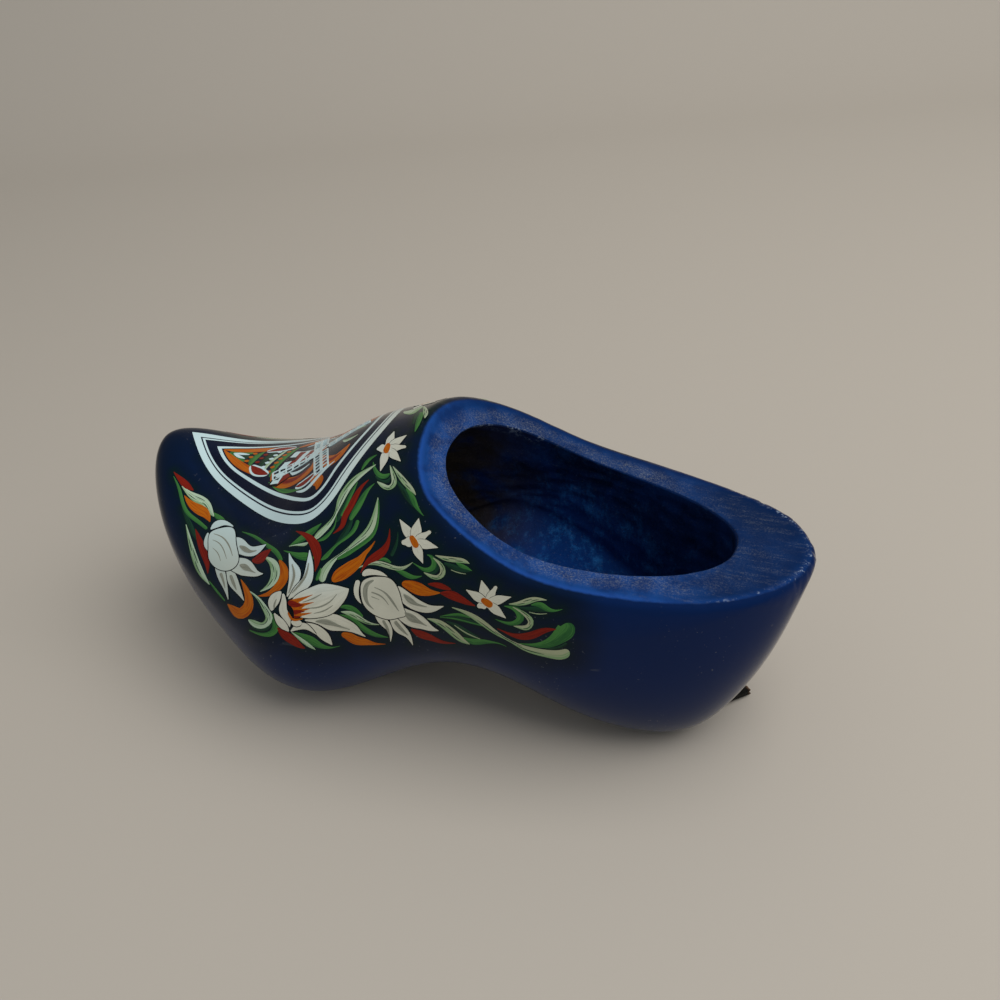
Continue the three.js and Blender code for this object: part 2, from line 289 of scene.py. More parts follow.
def half_width_at_rim(x):
    """Half width of the block at the height of the rim, from its rounded-square slice."""
    half_width, middle, below, above = cross_section(x)
    rise = rim_at(x) - middle
    squareness = np.where(rise > 0, upper_squareness, lower_squareness)
    share = np.clip(np.abs(rise) / np.maximum(np.where(rise > 0, above, below), tiny), 0, 1)
    return half_width * (1 - share**squareness) ** (1 / squareness)


def turning_point(low, high, value):
    """Where a rising function passes zero, by halving the stretch again and again."""
    for _ in range(halvings):
        middle = (low + high) / 2
        is_below = value(middle) < 0
        low, high = np.where(is_below, middle, low), np.where(is_below, high, middle)
    return low


def plan_outline(angle, front, back, half_width, taper):
    """Rounded square seen from above: it reaches from front to back and narrows backwards."""
    reach = rounded_square(angle, mouth_squareness)
    x = (front + back) / 2 + (back - front) / 2 * reach * np.cos(angle)
    y = half_width * reach * np.sin(angle) * (1 - taper * np.cos(angle))
    return np.stack([x, y], -1)


def on_rim(plan):
    return np.concatenate([plan, rim_at(plan[..., :1])], -1)


def bed_at(x):
    return np.maximum(sole_at(x), 0) + sole_thickness


rim_start = rim_points[0][0] * clog_length
rim_steep_end = rim_points[2][0] * clog_length
throat = float(turning_point(rim_start, rim_steep_end, lambda x: top_at(x) - rim_at(x)))
mouth_front = throat + throat_rim
mouth_back = clog_length - heel_rim
mouth_middle = (mouth_front + mouth_back) / 2
mouth_half_width = float(half_width_at_rim(mouth_middle)) - side_rim
bed_back = clog_length - bed_heel_wall
bed_middle = (bed_toe_wall + bed_back) / 2
print("throat at", round(throat, 2), "mm, mouth", round(2 * mouth_half_width, 1), "mm wide")


# %% Rows of points from under the toe, over the rim and down to the bed
def between(start, end, share):
    """Straight blend of two rows of points; the shares run along a new first axis."""
    return start + (end - start) * np.asarray(share)[:, None, None]


def rounded_edge(start, edge, end):
    """Quadratic curve between two rows, drawn towards the sharp edge between them."""
    share = np.linspace(0, 1, edge_rings)[:, None, None]
    return start * (1 - share) ** 2 + edge * 2 * share * (1 - share) + end * share**2


def direction_of(points):
    """Direction from the middle of the ball that the block is drawn out of, for its points."""
    angle = angle_on_block(points)
    along = np.clip(2 * points[..., 0] / clog_length - 1, -1, 1)
    around = np.sqrt(1 - along**2)
    return np.stack([along, around * np.sin(angle), -around * np.cos(angle)], -1)


def block_of(direction):
    """Point of the block for a direction: its x gives the slice, its turn the place round it."""
    x = clog_length / 2 * (1 + direction[..., 0])
    return on_block(x, np.arctan2(direction[..., 1], -direction[..., 2]))


print("points in a rounded edge:", edge_rings)

# %% [markdown]
# The rim's outer edge is where the sheet of the rim leaves the block. It is looked for along
# straight ways from the middle of the mouth, for all angles at once, by halving. The mouth itself
# is a rounded square in plan that narrows towards the heel.

# %% The mouth and the outer edge
around = np.linspace(0, 2 * math.pi, points_around, endpoint=False)
mouth = plan_outline(around, mouth_front, mouth_back, mouth_half_width, mouth_taper)
way = unit(mouth - np.array([mouth_middle, 0]))
room = np.where(way[:, 0] > 0, clog_length - mouth_middle, mouth_middle - throat)
furthest = np.minimum(room / np.maximum(np.abs(way[:, 0]), tiny), clog_length / 2)


def past_the_side(distance):
    return np.abs(way[:, 1] * distance) - half_width_at_rim(mouth_middle + way[:, 0] * distance)


edge_distance = turning_point(np.zeros(points_around), furthest, past_the_side)
edge = on_rim(np.array([mouth_middle, 0]) + way * edge_distance[:, None])
lip = on_rim(mouth)
print("the rim is", round(float(np.linalg.norm(lip - edge, axis=1).min()), 1), "mm wide at least")

# %% [markdown]
# Slices stacked from toe to heel would crowd at both ends. Here the points run from the rim's
# outer edge to a point under the toe along great circles of a ball, and the ball is drawn out
# into the block.

# %% The outside
under_toe = np.array([-1, 0, -1]) / math.sqrt(2)
start = direction_of(edge)
turn = np.arccos(np.clip(start @ under_toe, -1, 1))[:, None]


def outside_at(share):
    """Great circle from each edge point to the point under the toe, then out onto the block."""
    reach = share[..., None] * turn
    direction = np.sin(turn - reach) * start + np.sin(reach) * under_toe
    return block_of(unit(direction))


nudge = 0.01
speed = np.linalg.norm(outside_at(np.full((1, points_around), nudge))[0] - edge, axis=1) / nudge
first_share = outer_edge_round / speed
ring_share = np.arange(1, outside_rings + 1)[:, None] / outside_rings
outside = outside_at(1 - (1 - first_share) * ring_share)
print("outside:", len(outside), "rings")

# %% [markdown]
# A real rim has a soft outer edge and a sharper inner one, and the walls of the hollow end in a
# rounded corner at the bed. Each is a blend between two rows of points: straight for the rim and
# the walls, curved for the edges and the corner.

# %% The rim, the walls and the bed
inwards = unit(lip - edge)
rim_outer = edge + inwards * outer_edge_round
rim_inner = lip - inwards * inner_edge_round
rim_flat = between(rim_outer, rim_inner, np.linspace(0, 1, rim_rings + 2)[1:-1])
rim_flat[..., 2] = rim_at(rim_flat[..., 0])

bed_edge = plan_outline(around, bed_toe_wall, bed_back, bed_width / 2, bed_taper)
wall_share = np.linspace(0, 1, wall_rings + 1)
wall_plan = between(mouth, bed_edge, wall_share)
wall_foot = bed_at(bed_edge[:, 0]) + bed_corner
wall_height = lip[:, 2] + (wall_foot - lip[:, 2]) * wall_share[:, None] ** wall_bulge
wall = np.concatenate([wall_plan, wall_height[..., None]], -1)

corner_turn = np.linspace(0, math.pi / 2, corner_rings + 1)[1:-1, None]
corner_x = bed_middle + (bed_edge[:, 0] - bed_middle) * np.cos(corner_turn)
corner_y = bed_edge[:, 1] * np.cos(corner_turn)
corner_z = bed_at(corner_x) + bed_corner * (1 - np.sin(corner_turn))
corner = np.stack([corner_x, corner_y, corner_z], -1)

edge_wall_ring = 6
wall_top = lip + unit(wall[edge_wall_ring] - lip) * inner_edge_round
outer_edge = rounded_edge(outside[-1], edge, rim_outer)
inner_edge = rounded_edge(rim_inner, lip, wall_top)
rings = np.concatenate([outside[:-1], outer_edge, rim_flat, inner_edge, wall[edge_wall_ring:], corner])
print("rings:", len(rings), "of", points_around, "points")

# %% [markdown]
# Four masks say which finish a point has: how far it is onto the rim, how far across the rim, how
# far into the hollow and how deep. They could be painted by hand as vertex colours. They are known
# here from the ring that a point lies on, so they are kept as attributes for the materials.

# %% Masks that follow the rings
ring_counts = [outside_rings - 1, edge_rings, rim_rings, edge_rings, len(rings)]
ring_starts = np.cumsum([0] + ring_counts[:-1])
ring_number = np.arange(len(rings))


def rising(first, last):
    """Share that rises from 0 to 1 between two ring numbers."""
    return np.clip((ring_number - first) / (last - first), 0, 1)


rim_mask = rising(ring_starts[1], ring_starts[2]) * (1 - rising(ring_starts[3], ring_starts[4]))
across_rim = rising(ring_starts[1], ring_starts[4])
hollow_mask = rising(ring_starts[3], ring_starts[4])
depth_mask = rising(ring_starts[4], len(rings))
print("rings of the rim:", ring_starts[1], "to", ring_starts[4])

# %% [markdown]
# A gouge leaves shallow scoops with ridges between them in the hollow. The rim is a little uneven,
# and small chips are off its outer edge near the heel. All of them are moved into the points
# themselves, so that they show in the outline and the light. Bump in the material would only
# fake them.

# %% Lumps, gouge scoops and a chipped edge
random = np.random.default_rng(7)
lattice_size = 32
lattice = random.random((lattice_size,) * 3)
jitter_from = 0.25
jitter_by = 0.5
along_layer = 3
across_layer = 9


def lumps(points, size):
    """Value noise from -1 to 1: random corners of a lattice, blended by eased shares."""
    place = points / size
    corner_of = np.floor(place).astype(int)
    share = place - corner_of
    share = share * share * (3 - 2 * share)
    total = 0
    for step_x in (0, 1):
        for step_y in (0, 1):
            for step_z in (0, 1):
                step = np.array([step_x, step_y, step_z])
                weight = np.prod(np.where(step, share, 1 - share), -1)
                i, j, k = np.moveaxis((corner_of + step) % lattice_size, -1, 0)
                total = total + weight * lattice[i, j, k]
    return 2 * total - 1


def scoops(along, across, rows):
    """Distance to the nearest jittered cell centre: 0 in a scoop's middle, largest on a ridge."""
    nearest = np.full(np.shape(along), np.inf)
    row = np.floor(across)
    for row_step in (-1, 0, 1):
        shift = 0.5 * ((row + row_step) % 2)
        column = np.floor(along - shift)
        for column_step in (-1, 0, 1):
            i = ((column + column_step) % rows).astype(int) % lattice_size
            j = (row + row_step).astype(int) % lattice_size
            jitter_along = jitter_by * lattice[i, j, along_layer]
            jitter_across = jitter_by * lattice[i, j, across_layer]
            centre_along = column + column_step + shift + jitter_from + jitter_along
            centre_across = row + row_step + jitter_from + jitter_across
            nearest = np.minimum(nearest, np.hypot(along - centre_along, across - centre_across))
    return nearest


def ring_normals(points):
    """Unit normals of the rings from the steps along and between them."""
    round_step = np.roll(points, -1, 1) - np.roll(points, 1, 1)
    next_step = np.gradient(points, axis=0)
    return unit(np.cross(round_step, next_step))


gouges_around = 22
gouges_down = 7
gouge_depth = 0.6
gouge_ridge = 0.75
gouge_fade = 6
fuzz_height = 0.15
chip_depth = 0.35
chip_threshold = 0.15
chips_start = 118
chips_full = 143
rim_unevenness = 0.09
around_share = np.broadcast_to(around / (2 * math.pi) * gouges_around, rings.shape[:2])
down_share = np.broadcast_to(depth_mask[:, None] * gouges_down, rings.shape[:2])
scoop = scoops(around_share, down_share, gouges_around)
normals = ring_normals(rings)
is_hollow = rising(ring_starts[4], ring_starts[4] + gouge_fade)[:, None]
move = is_hollow * (gouge_depth * (scoop - gouge_ridge) + fuzz_height * lumps(rings, 1.6))
worn_wood = lumps(rings, 2.5) + 0.6 * lumps(rings * [0.4, 1, 1], 0.9)
move = move + rim_mask[:, None] * rim_unevenness * worn_wood
near_heel = np.clip((rings[..., 0] - chips_start) / (chips_full - chips_start), 0, 1)
edge_rise = rising(ring_starts[1] - 2, ring_starts[1] + 3)
edge_fall = 1 - rising(ring_starts[2] - 2, ring_starts[2] + 2)
on_outer_edge = (edge_rise * edge_fall)[:, None]
chips = np.clip(lumps(rings, 1.3) + 0.5 * lumps(rings, 0.6) - chip_threshold, 0, 1)
move = move - near_heel * on_outer_edge * chip_depth * chips
rings = rings + normals * move[..., None]
print("deepest scoop:", round(float(move.min()), 2), "mm")

# %% [markdown]
# A mesh needs its points once and its faces as rows of point numbers. Rings close on themselves,
# and a fan of triangles closes each pole. The bmesh module could add the faces one by one, but
# whole arrays are quicker and shorter. Attributes are set as whole arrays too.

# %% From arrays to a mesh
def ring_faces(ring_count, point_count):
    """Quads between neighbouring rings, then triangles from each end ring to its pole."""
    number = np.arange(ring_count * point_count).reshape(ring_count, point_count)
    following = np.roll(number, -1, 1)
    quads = np.stack([number[:-1], following[:-1], following[1:], number[1:]], -1).reshape(-1, 4)
    first_pole = ring_count * point_count
    first_fan = np.stack([np.full(point_count, first_pole), following[0], number[0]], -1)
    last_fan = np.stack([np.full(point_count, first_pole + 1), number[-1], following[-1]], -1)
    return [quads, first_fan, last_fan]


def new_mesh(name, points, faces, body="root"):
    """Mesh object at the origin, in metres, with smooth faces; it rides on a body of the frame."""
    mesh = bpy.data.meshes.new(name)
    mesh.from_pydata(to_frame(points).tolist(), [], [row for block in faces for row in block.tolist()])
    mesh.shade_smooth()
    piece = bpy.data.objects.new(name, mesh)
    bpy.context.scene.collection.objects.link(piece)
    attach(piece, body)
    return piece


def set_values(piece, name, values):
    """Stores one number for each point of the mesh under a name."""
    attribute = piece.data.attributes.new(name, "FLOAT", "POINT")
    attribute.data.foreach_set("value", np.ascontiguousarray(values, np.float32))


def apply_modifiers(piece):
    """Replaces the mesh by what its modifiers make of it, and removes them."""
    evaluated = piece.evaluated_get(bpy.context.evaluated_depsgraph_get())
    made = bpy.data.meshes.new_from_object(evaluated)
    piece.modifiers.clear()
    piece.data = made


# %% The clog's body
bed_centre = np.array([[bed_middle, 0, bed_at(bed_middle)]])
toe_pole = block_of(under_toe[None])
body_points = np.concatenate([rings.reshape(-1, 3), toe_pole, bed_centre])
body_points[:, 2] = np.maximum(body_points[:, 2], 0)
body = new_mesh("painted_clog", body_points, ring_faces(len(rings), points_around))


def each_point(ring_values, first, last):
    """One value for each point from one for each ring, with the two poles' own values."""
    return np.concatenate([np.repeat(ring_values, points_around), [first, last]])


set_values(body, "rim", each_point(rim_mask, 0, 0))
set_values(body, "across_rim", each_point(across_rim, 0, 1))
set_values(body, "hollow", each_point(hollow_mask, 0, 1))
set_values(body, "depth", each_point(depth_mask, 0, 1))
print("body:", len(body.data.polygons), "faces")

# %% [markdown]
# The tab lies in a groove that is sawn into the sole. A Boolean modifier cuts it, with a plain box
# as the saw. Its place comes from the tab's own sizes, so the groove is as wide as the tab and its
# clearance.

# %% The groove for the tab
clearance = 0.3
tab_length = 24
tab_width = 5.5
tab_thickness = 1.8
tab_angle = math.radians(49)
tab_end = np.array([clog_length - 12, 8.4, 0])
tack_head_height = 0.7
tab_bottom = 2 * clearance + tack_head_height
groove_top = tab_bottom + tab_thickness + clearance


def under_heel(points):
    """From the tab's own axes, with its cut end at x = 0, to its place under the heel."""
    x, y, z = np.moveaxis(np.asarray(points, float), -1, 0)
    cosine, sine = math.cos(tab_angle), math.sin(tab_angle)
    return np.stack([x * cosine - y * sine, x * sine + y * cosine, z], -1) + tab_end


def box_corners(low, high):
    """The eight corners of a box, and its six faces pointing outwards."""
    corners = np.array([[(low, high)[i >> axis & 1][axis] for axis in range(3)] for i in range(8)])
    faces = np.array([[0, 2, 3, 1], [4, 5, 7, 6], [0, 1, 5, 4], [2, 6, 7, 3], [0, 4, 6, 2], [1, 3, 7, 5]])
    return corners, faces


def cut_with(piece, tool):
    modifier = piece.modifiers.new("cut", "BOOLEAN")
    modifier.object = tool
    modifier.operation = "DIFFERENCE"
    modifier.solver = "EXACT"
    apply_modifiers(piece)
    bpy.data.objects.remove(tool)


groove_half = tab_width / 2 + clearance
saw_corners, saw_faces = box_corners(
    (-tab_length - clearance, -groove_half, -groove_top), (tab_length / 2, groove_half, groove_top)
)
cut_with(body, new_mesh("saw", under_heel(saw_corners), [saw_faces]))
crease = math.radians(38)
body.data.set_sharp_from_angle(angle=crease)
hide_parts("clog_body")
print("after the groove:", len(body.data.polygons), "faces")

# %% [markdown]
# The tack goes up through the tab into the wood, so the sole has a small bore above the groove.
# The same bar shape, a ring of points swept upwards, cuts the bore here and the tab's hole later.

# %% The bore for the tack
tack_from_cut_end = 19
tack_bore = 0.95
tack_top = tab_bottom + 5.3
bar_points = 24


def bar_under_heel(radius, top):
    """Round bar through the tack's place: two rings and the middles of its two ends."""
    turn = np.linspace(0, 2 * math.pi, bar_points, endpoint=False)
    ring = np.stack([radius * np.cos(turn) - tack_from_cut_end, radius * np.sin(turn), 0 * turn], -1)
    middle = np.array([[-tack_from_cut_end, 0, 0]])
    rise = np.array([0, 0, top])
    points = under_heel(np.concatenate([ring - rise, ring + rise, middle - rise, middle + rise]))
    return points, ring_faces(2, bar_points)


cut_with(body, new_mesh("drill", *bar_under_heel(tack_bore, tack_top)))
print("bore:", 2 * tack_bore, "mm wide, up to", tack_top, "mm")

# %% [markdown]
# The clog's flowers are brush strokes: each one starts fine, swells as the brush is pressed, and
# ends fine. A painted texture could hold them, but then a close view would blur. Here each stroke
# is a line of places in the picture, with the brush's width at each, that is cast through the
# camera onto the wood. It becomes a closed film, which stands at most 0.2 mm proud of the wood.

# %% Casting a place in the picture onto the block
cast_near = 205
cast_far = 350
cast_steps = 58


def inside_block(points):
    """Below zero inside the block: the powers of the shares across and down, less one."""
    x, y, z = np.moveaxis(points, -1, 0)
    half_width, middle, below, above = cross_section(np.clip(x, 0, clog_length))
    drop = middle - z
    squareness = np.where(drop > 0, lower_squareness, upper_squareness)
    down = np.abs(drop) / np.maximum(np.where(drop > 0, below, above), tiny)
    across = np.abs(y) / np.maximum(half_width, tiny)
    outside_ends = (x < 0) | (x > clog_length)
    return across**squareness + down**squareness - 1 + outside_ends


def cast(picture):
    """First point of the block on each pixel's ray, or the closest one where the ray misses."""
    aside, above = np.moveaxis((picture - picture_size / 2) / focal_pixels, -1, 0)
    ray = aside[..., None] * camera_right - above[..., None] * camera_up - camera_back
    reach = np.linspace(cast_near, cast_far, cast_steps)
    value = inside_block(camera_place + ray[..., None, :] * reach[:, None])
    is_hit = value.min(-1) < 0
    first = np.where(is_hit, np.argmax(value < 0, -1), np.argmin(value, -1))
    low = reach[np.maximum(first - is_hit, 0)]
    high = reach[first]

    def depth_inside(distance):
        return -inside_block(camera_place + ray * distance[..., None])

    distance = turning_point(low, high, depth_inside)
    return camera_place + ray * distance[..., None]


def drop_on_top(plan):
    """Point of the block's upper side above a place in plan."""
    x, y = np.moveaxis(plan, -1, 0)
    half_width, middle, below, above = cross_section(x)
    share = np.clip(np.abs(y) / half_width, 0, 1)
    return np.stack([x, y, middle + above * (1 - share**upper_squareness) ** (1 / upper_squareness)], -1)


def lay(x, angle, height):
    """Point of the block at x and an angle round it, lifted off the wood by a height."""
    return on_block(x, angle) + outwards(x, angle) * np.asarray(height)[..., None]


place_on_side = np.array([500.0, 600.0])
print("a place on the clog's side:", cast(place_on_side).round(1), "mm")

# %% [markdown]
# A stroke is a row of rings round its own cross-section, closed by a point at each end. A patch is
# rings drawn in to its middle, above and below. All films of one colour are joined into one piece.
# The far side of the clog gets the mirrored film, with its faces turned round, since the painter
# repeats the pattern there.

# %% Strokes, patches and bands as closed films
film_foot = -0.05
stroke_stations = 30
stroke_across = 7
finest_width = 0.35
pixel_on_wood = 0.3
patch_points = 72
patch_rings = 7
middle_every = 5
edge_every = 6
far_side_turn = 0.24
panel_end = 66
films = {}
stroke_middles = []


def volume_of(points, faces):
    """Six times the volume: triple products of the corners of each face's triangles."""
    points = points - points.mean(0)
    total = 0
    for block in faces:
        for last in range(2, block.shape[1]):
            a, b, c = points[block[:, 0]], points[block[:, last - 1]], points[block[:, last]]
            total += np.einsum("ij,ij->", a, np.cross(b, c))
    return total


def add_film(paint, places, heights, faces, values, both_sides):
    """Lays a closed film on the wood, and on the far side too, a little further down at the toe."""
    x, angle = places[:, 0], angle_on_block(places)
    points = lay(x, angle, heights)
    if volume_of(points, faces) < 0:
        faces = [block[:, ::-1] for block in faces]
    films.setdefault(paint, []).append((points, faces, values))
    if both_sides and places[:, 1].max() < 0:
        further_down = far_side_turn * np.clip((panel_end - x) / panel_end, 0, 1)
        far_points = lay(x, -angle - further_down, heights)
        films[paint].append((far_points, [block[:, ::-1] for block in faces], values))


def run_along(line):
    """Length run at each place of a line, from its first place."""
    return np.concatenate([[0], np.cumsum(np.linalg.norm(np.diff(line, axis=0), axis=1))])


def drawn_track(line, share):
    """A stroke's places and widths at shares of its length, the ways sideways, and its length."""
    line = np.array(line, float)
    run = run_along(line[:, :2])
    track = spline(run, line)(share * run[-1])
    along = unit(np.gradient(track[:, :2], axis=0))
    return track, np.stack([-along[:, 1], along[:, 0]], -1), run[-1]


def film_slices(points, height):
    """Rows across a film, each closed along its foot, with the height and side of each point."""
    rows, across = points.shape[:2]
    loops = np.concatenate([points, points[:, [-1, 0]]], 1)
    heights = np.tile(np.repeat([height, film_foot], [across, 2]), rows)
    sides = np.tile(np.concatenate([np.linspace(-1, 1, across), [1, -1]]), rows)
    return loops, heights, sides


def add_stroke(paint, line, height, place=cast, both_sides=True):
    """Film along a line of (place, place, width): a spline, widened to both sides of itself."""
    share = (1 - np.cos(np.linspace(0, math.pi, stroke_stations))) / 2
    track, sideways, length = drawn_track(line, share)
    width = track[:, 2]
    for from_end, end_width in ((share, width[0]), (1 - share, width[-1])):
        inside = np.clip(1 - from_end * length / max(end_width / 2, tiny), 0, 1)
        width = width * np.sqrt(1 - inside**2)
    finest = finest_width if place is cast else finest_width * pixel_on_wood
    width = np.maximum(width, finest)
    side = np.linspace(-1, 1, stroke_across)
    flat = track[:, None, :2] + side[:, None] * (sideways * width[:, None] / 2)[:, None]
    points = place(flat)
    loops, heights, sides = film_slices(points, height)
    count = loops.shape[1]
    middle = points[:, stroke_across // 2]
    places = np.concatenate([loops.reshape(-1, 3), middle[[0, -1]]])
    heights = np.concatenate([heights, [height / 2, height / 2]])
    values = {
        "side": np.concatenate([sides, [0, 0]]),
        "run": np.concatenate([np.repeat(share, count), [0, 1]]),
    }
    add_film(paint, places, heights, ring_faces(stroke_stations, count), values, both_sides)
    if paint != "white":
        stroke_middles.append(middle[::middle_every])


def add_patch(paint, outline, height, place=cast, both_sides=True,
              count=patch_points, ring_count=patch_rings):
    """Film inside a closed outline: the outline drawn in towards its middle in even steps."""
    outline = np.array(outline, float)
    three_laps = np.concatenate([outline] * 3)
    run = run_along(three_laps)
    lap = run[len(outline)]
    edge_line = spline(run, three_laps)(lap * (1 + np.arange(count) / count))
    centre = edge_line.mean(0)
    share = np.linspace(0, 1, ring_count + 1)[1:, None, None]
    points = place(centre + (edge_line - centre) * share)
    middle = place(centre[None])
    both_faces = np.concatenate([points, points[::-1]])
    places = np.concatenate([both_faces.reshape(-1, 3), middle, middle])
    heights = np.repeat([height, film_foot, height, film_foot], [ring_count * count] * 2 + [1, 1])
    values = {"side": np.zeros(len(places)), "run": np.zeros(len(places))}
    add_film(paint, places, heights, ring_faces(2 * ring_count, count), values, both_sides)
    stroke_middles.append(points[-1][::edge_every])


print("points in each slice of a stroke:", stroke_across + 2)

# %% [markdown]
# The painter works from dark to light. Dark leaves go on first, then mid green, pale green, red
# and orange, and the white flowers last, each petal with a fine dark edge. Every layer lies a
# little higher than the one before. The lines below were read off the picture stroke by stroke.

# %% Leaves beside the panel
layer = 0.011
layers = {"dark_green": 1.2, "green": 2, "pale_green": 3, "red": 4, "orange": 5, "black": 6, "white": 7}

leaves_by_the_panel = [
    ("dark_green", [(354, 486, 1), (346, 500, 5), (340, 514, 6), (336, 522, 3)]),
    ("dark_green", [(352, 518, 3), (347, 530, 5.5), (341, 538, 4), (335, 545, 1)]),
    ("green", [(290, 545.6, 0.5), (298.6, 540.7, 5.2), (307.7, 534.5, 6.5), (315, 529, 4.5),
        (321.5, 523.4, 0.5)]),
    ("green", [(336.5, 513, 0.5), (334.5, 526, 1.5), (329, 534, 3), (322, 539.5, 3), (318, 541, 1)]),
    ("green", [(357.5, 482, 0.5), (353.5, 490, 2.5), (349, 499, 3), (345, 508, 2.5), (341, 516, 2)]),
    ("green", [(374.6, 483.4, 0.5), (368.8, 488.8, 2.7), (363.4, 496.8, 5), (358, 506.6, 6),
        (353.6, 513.8, 5.4), (350, 520, 3.5)]),
    ("green", [(358, 520, 3.5), (354.5, 529, 4), (346, 538, 3), (336.5, 545, 2.5), (330, 552, 3.5),
        (324, 558, 3.5), (321, 560, 1)]),
    ("green", [(283.6, 550.6, 0.5), (292, 553.5, 3.5), (300, 556, 7), (308, 557, 7.5), (313.5, 559, 3)]),
    ("green", [(376.8, 454.8, 0.5), (369.6, 459.3, 2.7), (364.3, 465.5, 2.7), (361.5, 470, 1)]),
    ("pale_green", [(289, 546.3, 0.6), (297, 545, 1.6), (307, 543.2, 1.8), (308, 542.5, 0.8)]),
    ("pale_green", [(375.9, 464.6, 0.5), (366, 471, 3.2), (355, 479.5, 5.5), (346, 490.5, 6.5),
        (340, 502, 6), (336, 513, 2.5), (329, 524.5, 4.5), (322, 531.5, 5.5), (316, 537.5, 4),
        (313.5, 540, 1)]),
    ("pale_green", [(378, 497.5, 0.5), (375.7, 514, 5.5), (372, 525.3, 7), (365.5, 535, 7.5),
        (357, 542, 5.5), (346, 551, 3), (336, 558, 3), (329.2, 564.8, 6), (324.5, 571.6, 7.5),
        (322.3, 579.4, 6.5), (322.4, 582, 5)]),
    ("red", [(296, 531.2, 0.8), (306.8, 535.9, 5.8), (313.7, 543.2, 9.3), (316.8, 551.4, 9.3),
        (317.3, 560, 5.9), (315, 571.6, 0.5)]),
    ("red", [(368.8, 479.8, 0.5), (361.6, 487, 3), (355.5, 497, 5.3), (350, 507.5, 6),
        (344.5, 518, 5.5), (342.5, 525.2, 4.5), (337.8, 530.3, 2.5), (333, 533.8, 0.5)]),
    ("red", [(389.8, 528.7, 0.5), (388.8, 539.5, 3), (384.4, 549.4, 7), (376.5, 556.3, 8.5),
        (368.6, 561.3, 5.5), (363.7, 567.2, 2.5), (360.7, 573, 0.4)]),
    ("orange", [(332.5, 581.5, 3.5), (337, 577, 10.5), (345, 571.5, 13), (353.2, 565.6, 11.5),
        (361, 558.8, 7), (364.6, 553.9, 4.5), (370.6, 547.4, 2.5), (375, 541, 0.4)]),
    ("pale_green", [(357.7, 568.2, 1), (367.6, 564.2, 2), (377.5, 563.2, 4.5), (390.3, 566.7, 4.5),
        (402.2, 568.2, 3.5), (408, 565.7, 2), (412.6, 562.3, 0.4)]),
    ("dark_green", [(398, 532, 0.5), (396, 545, 3), (391, 556, 4)]),
    ("green", [(379, 560, 1), (384, 559.3, 3.5), (391, 563, 1.5)]),
    ("green", [(394, 568.5, 1.5), (404, 573.5, 5), (413, 577.2, 4), (422, 576, 0.4)]),
]

# Darker lines on the pale green leaves beside the panel.
leaf_shades = [
    ("green", [(378.5, 500, 1), (377, 524.7, 2.5), (373, 534.5, 3.5), (365, 542, 4), (354, 549.5, 4),
        (344.7, 555.3, 4), (337, 559, 2)]),
    ("green", [(321, 568, 1), (318.5, 575, 3), (316.5, 580.5, 2.5)]),
]
print("leaves beside the panel:", len(leaves_by_the_panel))

# %% Leaves round the two small flowers and at the throat
leaves_by_the_small_flowers = [
    ("green", [(412.7, 562.7, 0.5), (419.2, 567, 2), (426.6, 570, 4.5), (432.8, 567.5, 5.5),
        (434, 561.5, 4.5), (430.5, 556, 2.5), (427, 554.7, 0.6)]),
    ("dark_green", [(424, 572, 1), (434, 573, 3), (438, 566, 3.5), (435.5, 559, 2)]),
    ("pale_green", [(423.8, 572.4, 0.6), (430.3, 575.8, 3.3), (437.6, 577.3, 4.5), (442.3, 574, 5.5),
        (442.3, 567.6, 4.5), (438.6, 562.3, 3), (433, 557.6, 0.6)]),
    ("pale_green", [(435.3, 555.3, 0.5), (446, 558.5, 4.5), (457, 560, 5), (464.5, 561.3, 3.8),
        (469.5, 563.6, 0.5)]),
    ("green", [(456, 562.5, 1), (462, 566, 4), (467, 568.3, 3), (472, 571, 0.4)]),
    ("dark_green", [(444, 563, 2), (453, 567, 5.5), (463, 570.5, 4.5), (470, 571.5, 1)]),
    ("pale_green", [(451, 569.8, 0.5), (458, 572.5, 0.8), (466, 574, 0.4)]),
    ("green", [(373.2, 462, 0.6), (375.8, 471, 4), (382, 476.3, 5), (387.5, 475.4, 3.5),
        (389.8, 473.5, 1)]),
    ("dark_green", [(375.5, 476, 1.5), (381, 481, 3), (388, 481, 3.5), (391.5, 476.5, 2)]),
    ("pale_green", [(377.2, 481.6, 0.6), (383, 485.8, 4.5), (389.5, 487.6, 4.5), (393.7, 484, 5),
        (393.7, 477, 4.5), (391.5, 470, 2.5), (390.2, 465.5, 0.5)]),
    ("pale_green", [(392.9, 466.4, 0.5), (400, 476, 4.5), (407, 484.5, 5.5), (412.5, 490.5, 3.5),
        (415.6, 495, 0.5)]),
    ("green", [(406, 488.5, 1), (411.6, 496, 5), (415, 504, 5), (418.7, 510.2, 2.7), (423.7, 516, 0.4)]),
    ("dark_green", [(397, 481, 1.5), (402.5, 489.5, 5), (409, 500, 4.5), (415, 508, 1)]),
    ("pale_green", [(423.7, 406.2, 1), (425.5, 411, 5), (424.5, 418, 0.6)]),
    ("green", [(422.3, 412, 3.5), (418.5, 421, 4.5), (414.8, 431.6, 0.5)]),
    ("dark_green", [(419, 411, 2), (414.5, 418, 4), (413, 424, 1.5)]),
    ("pale_green", [(403.5, 412.5, 2), (410, 412.5, 4), (418.5, 408.5, 3), (423, 406.3, 1)]),
]
print("leaves by the small flowers:", len(leaves_by_the_small_flowers))

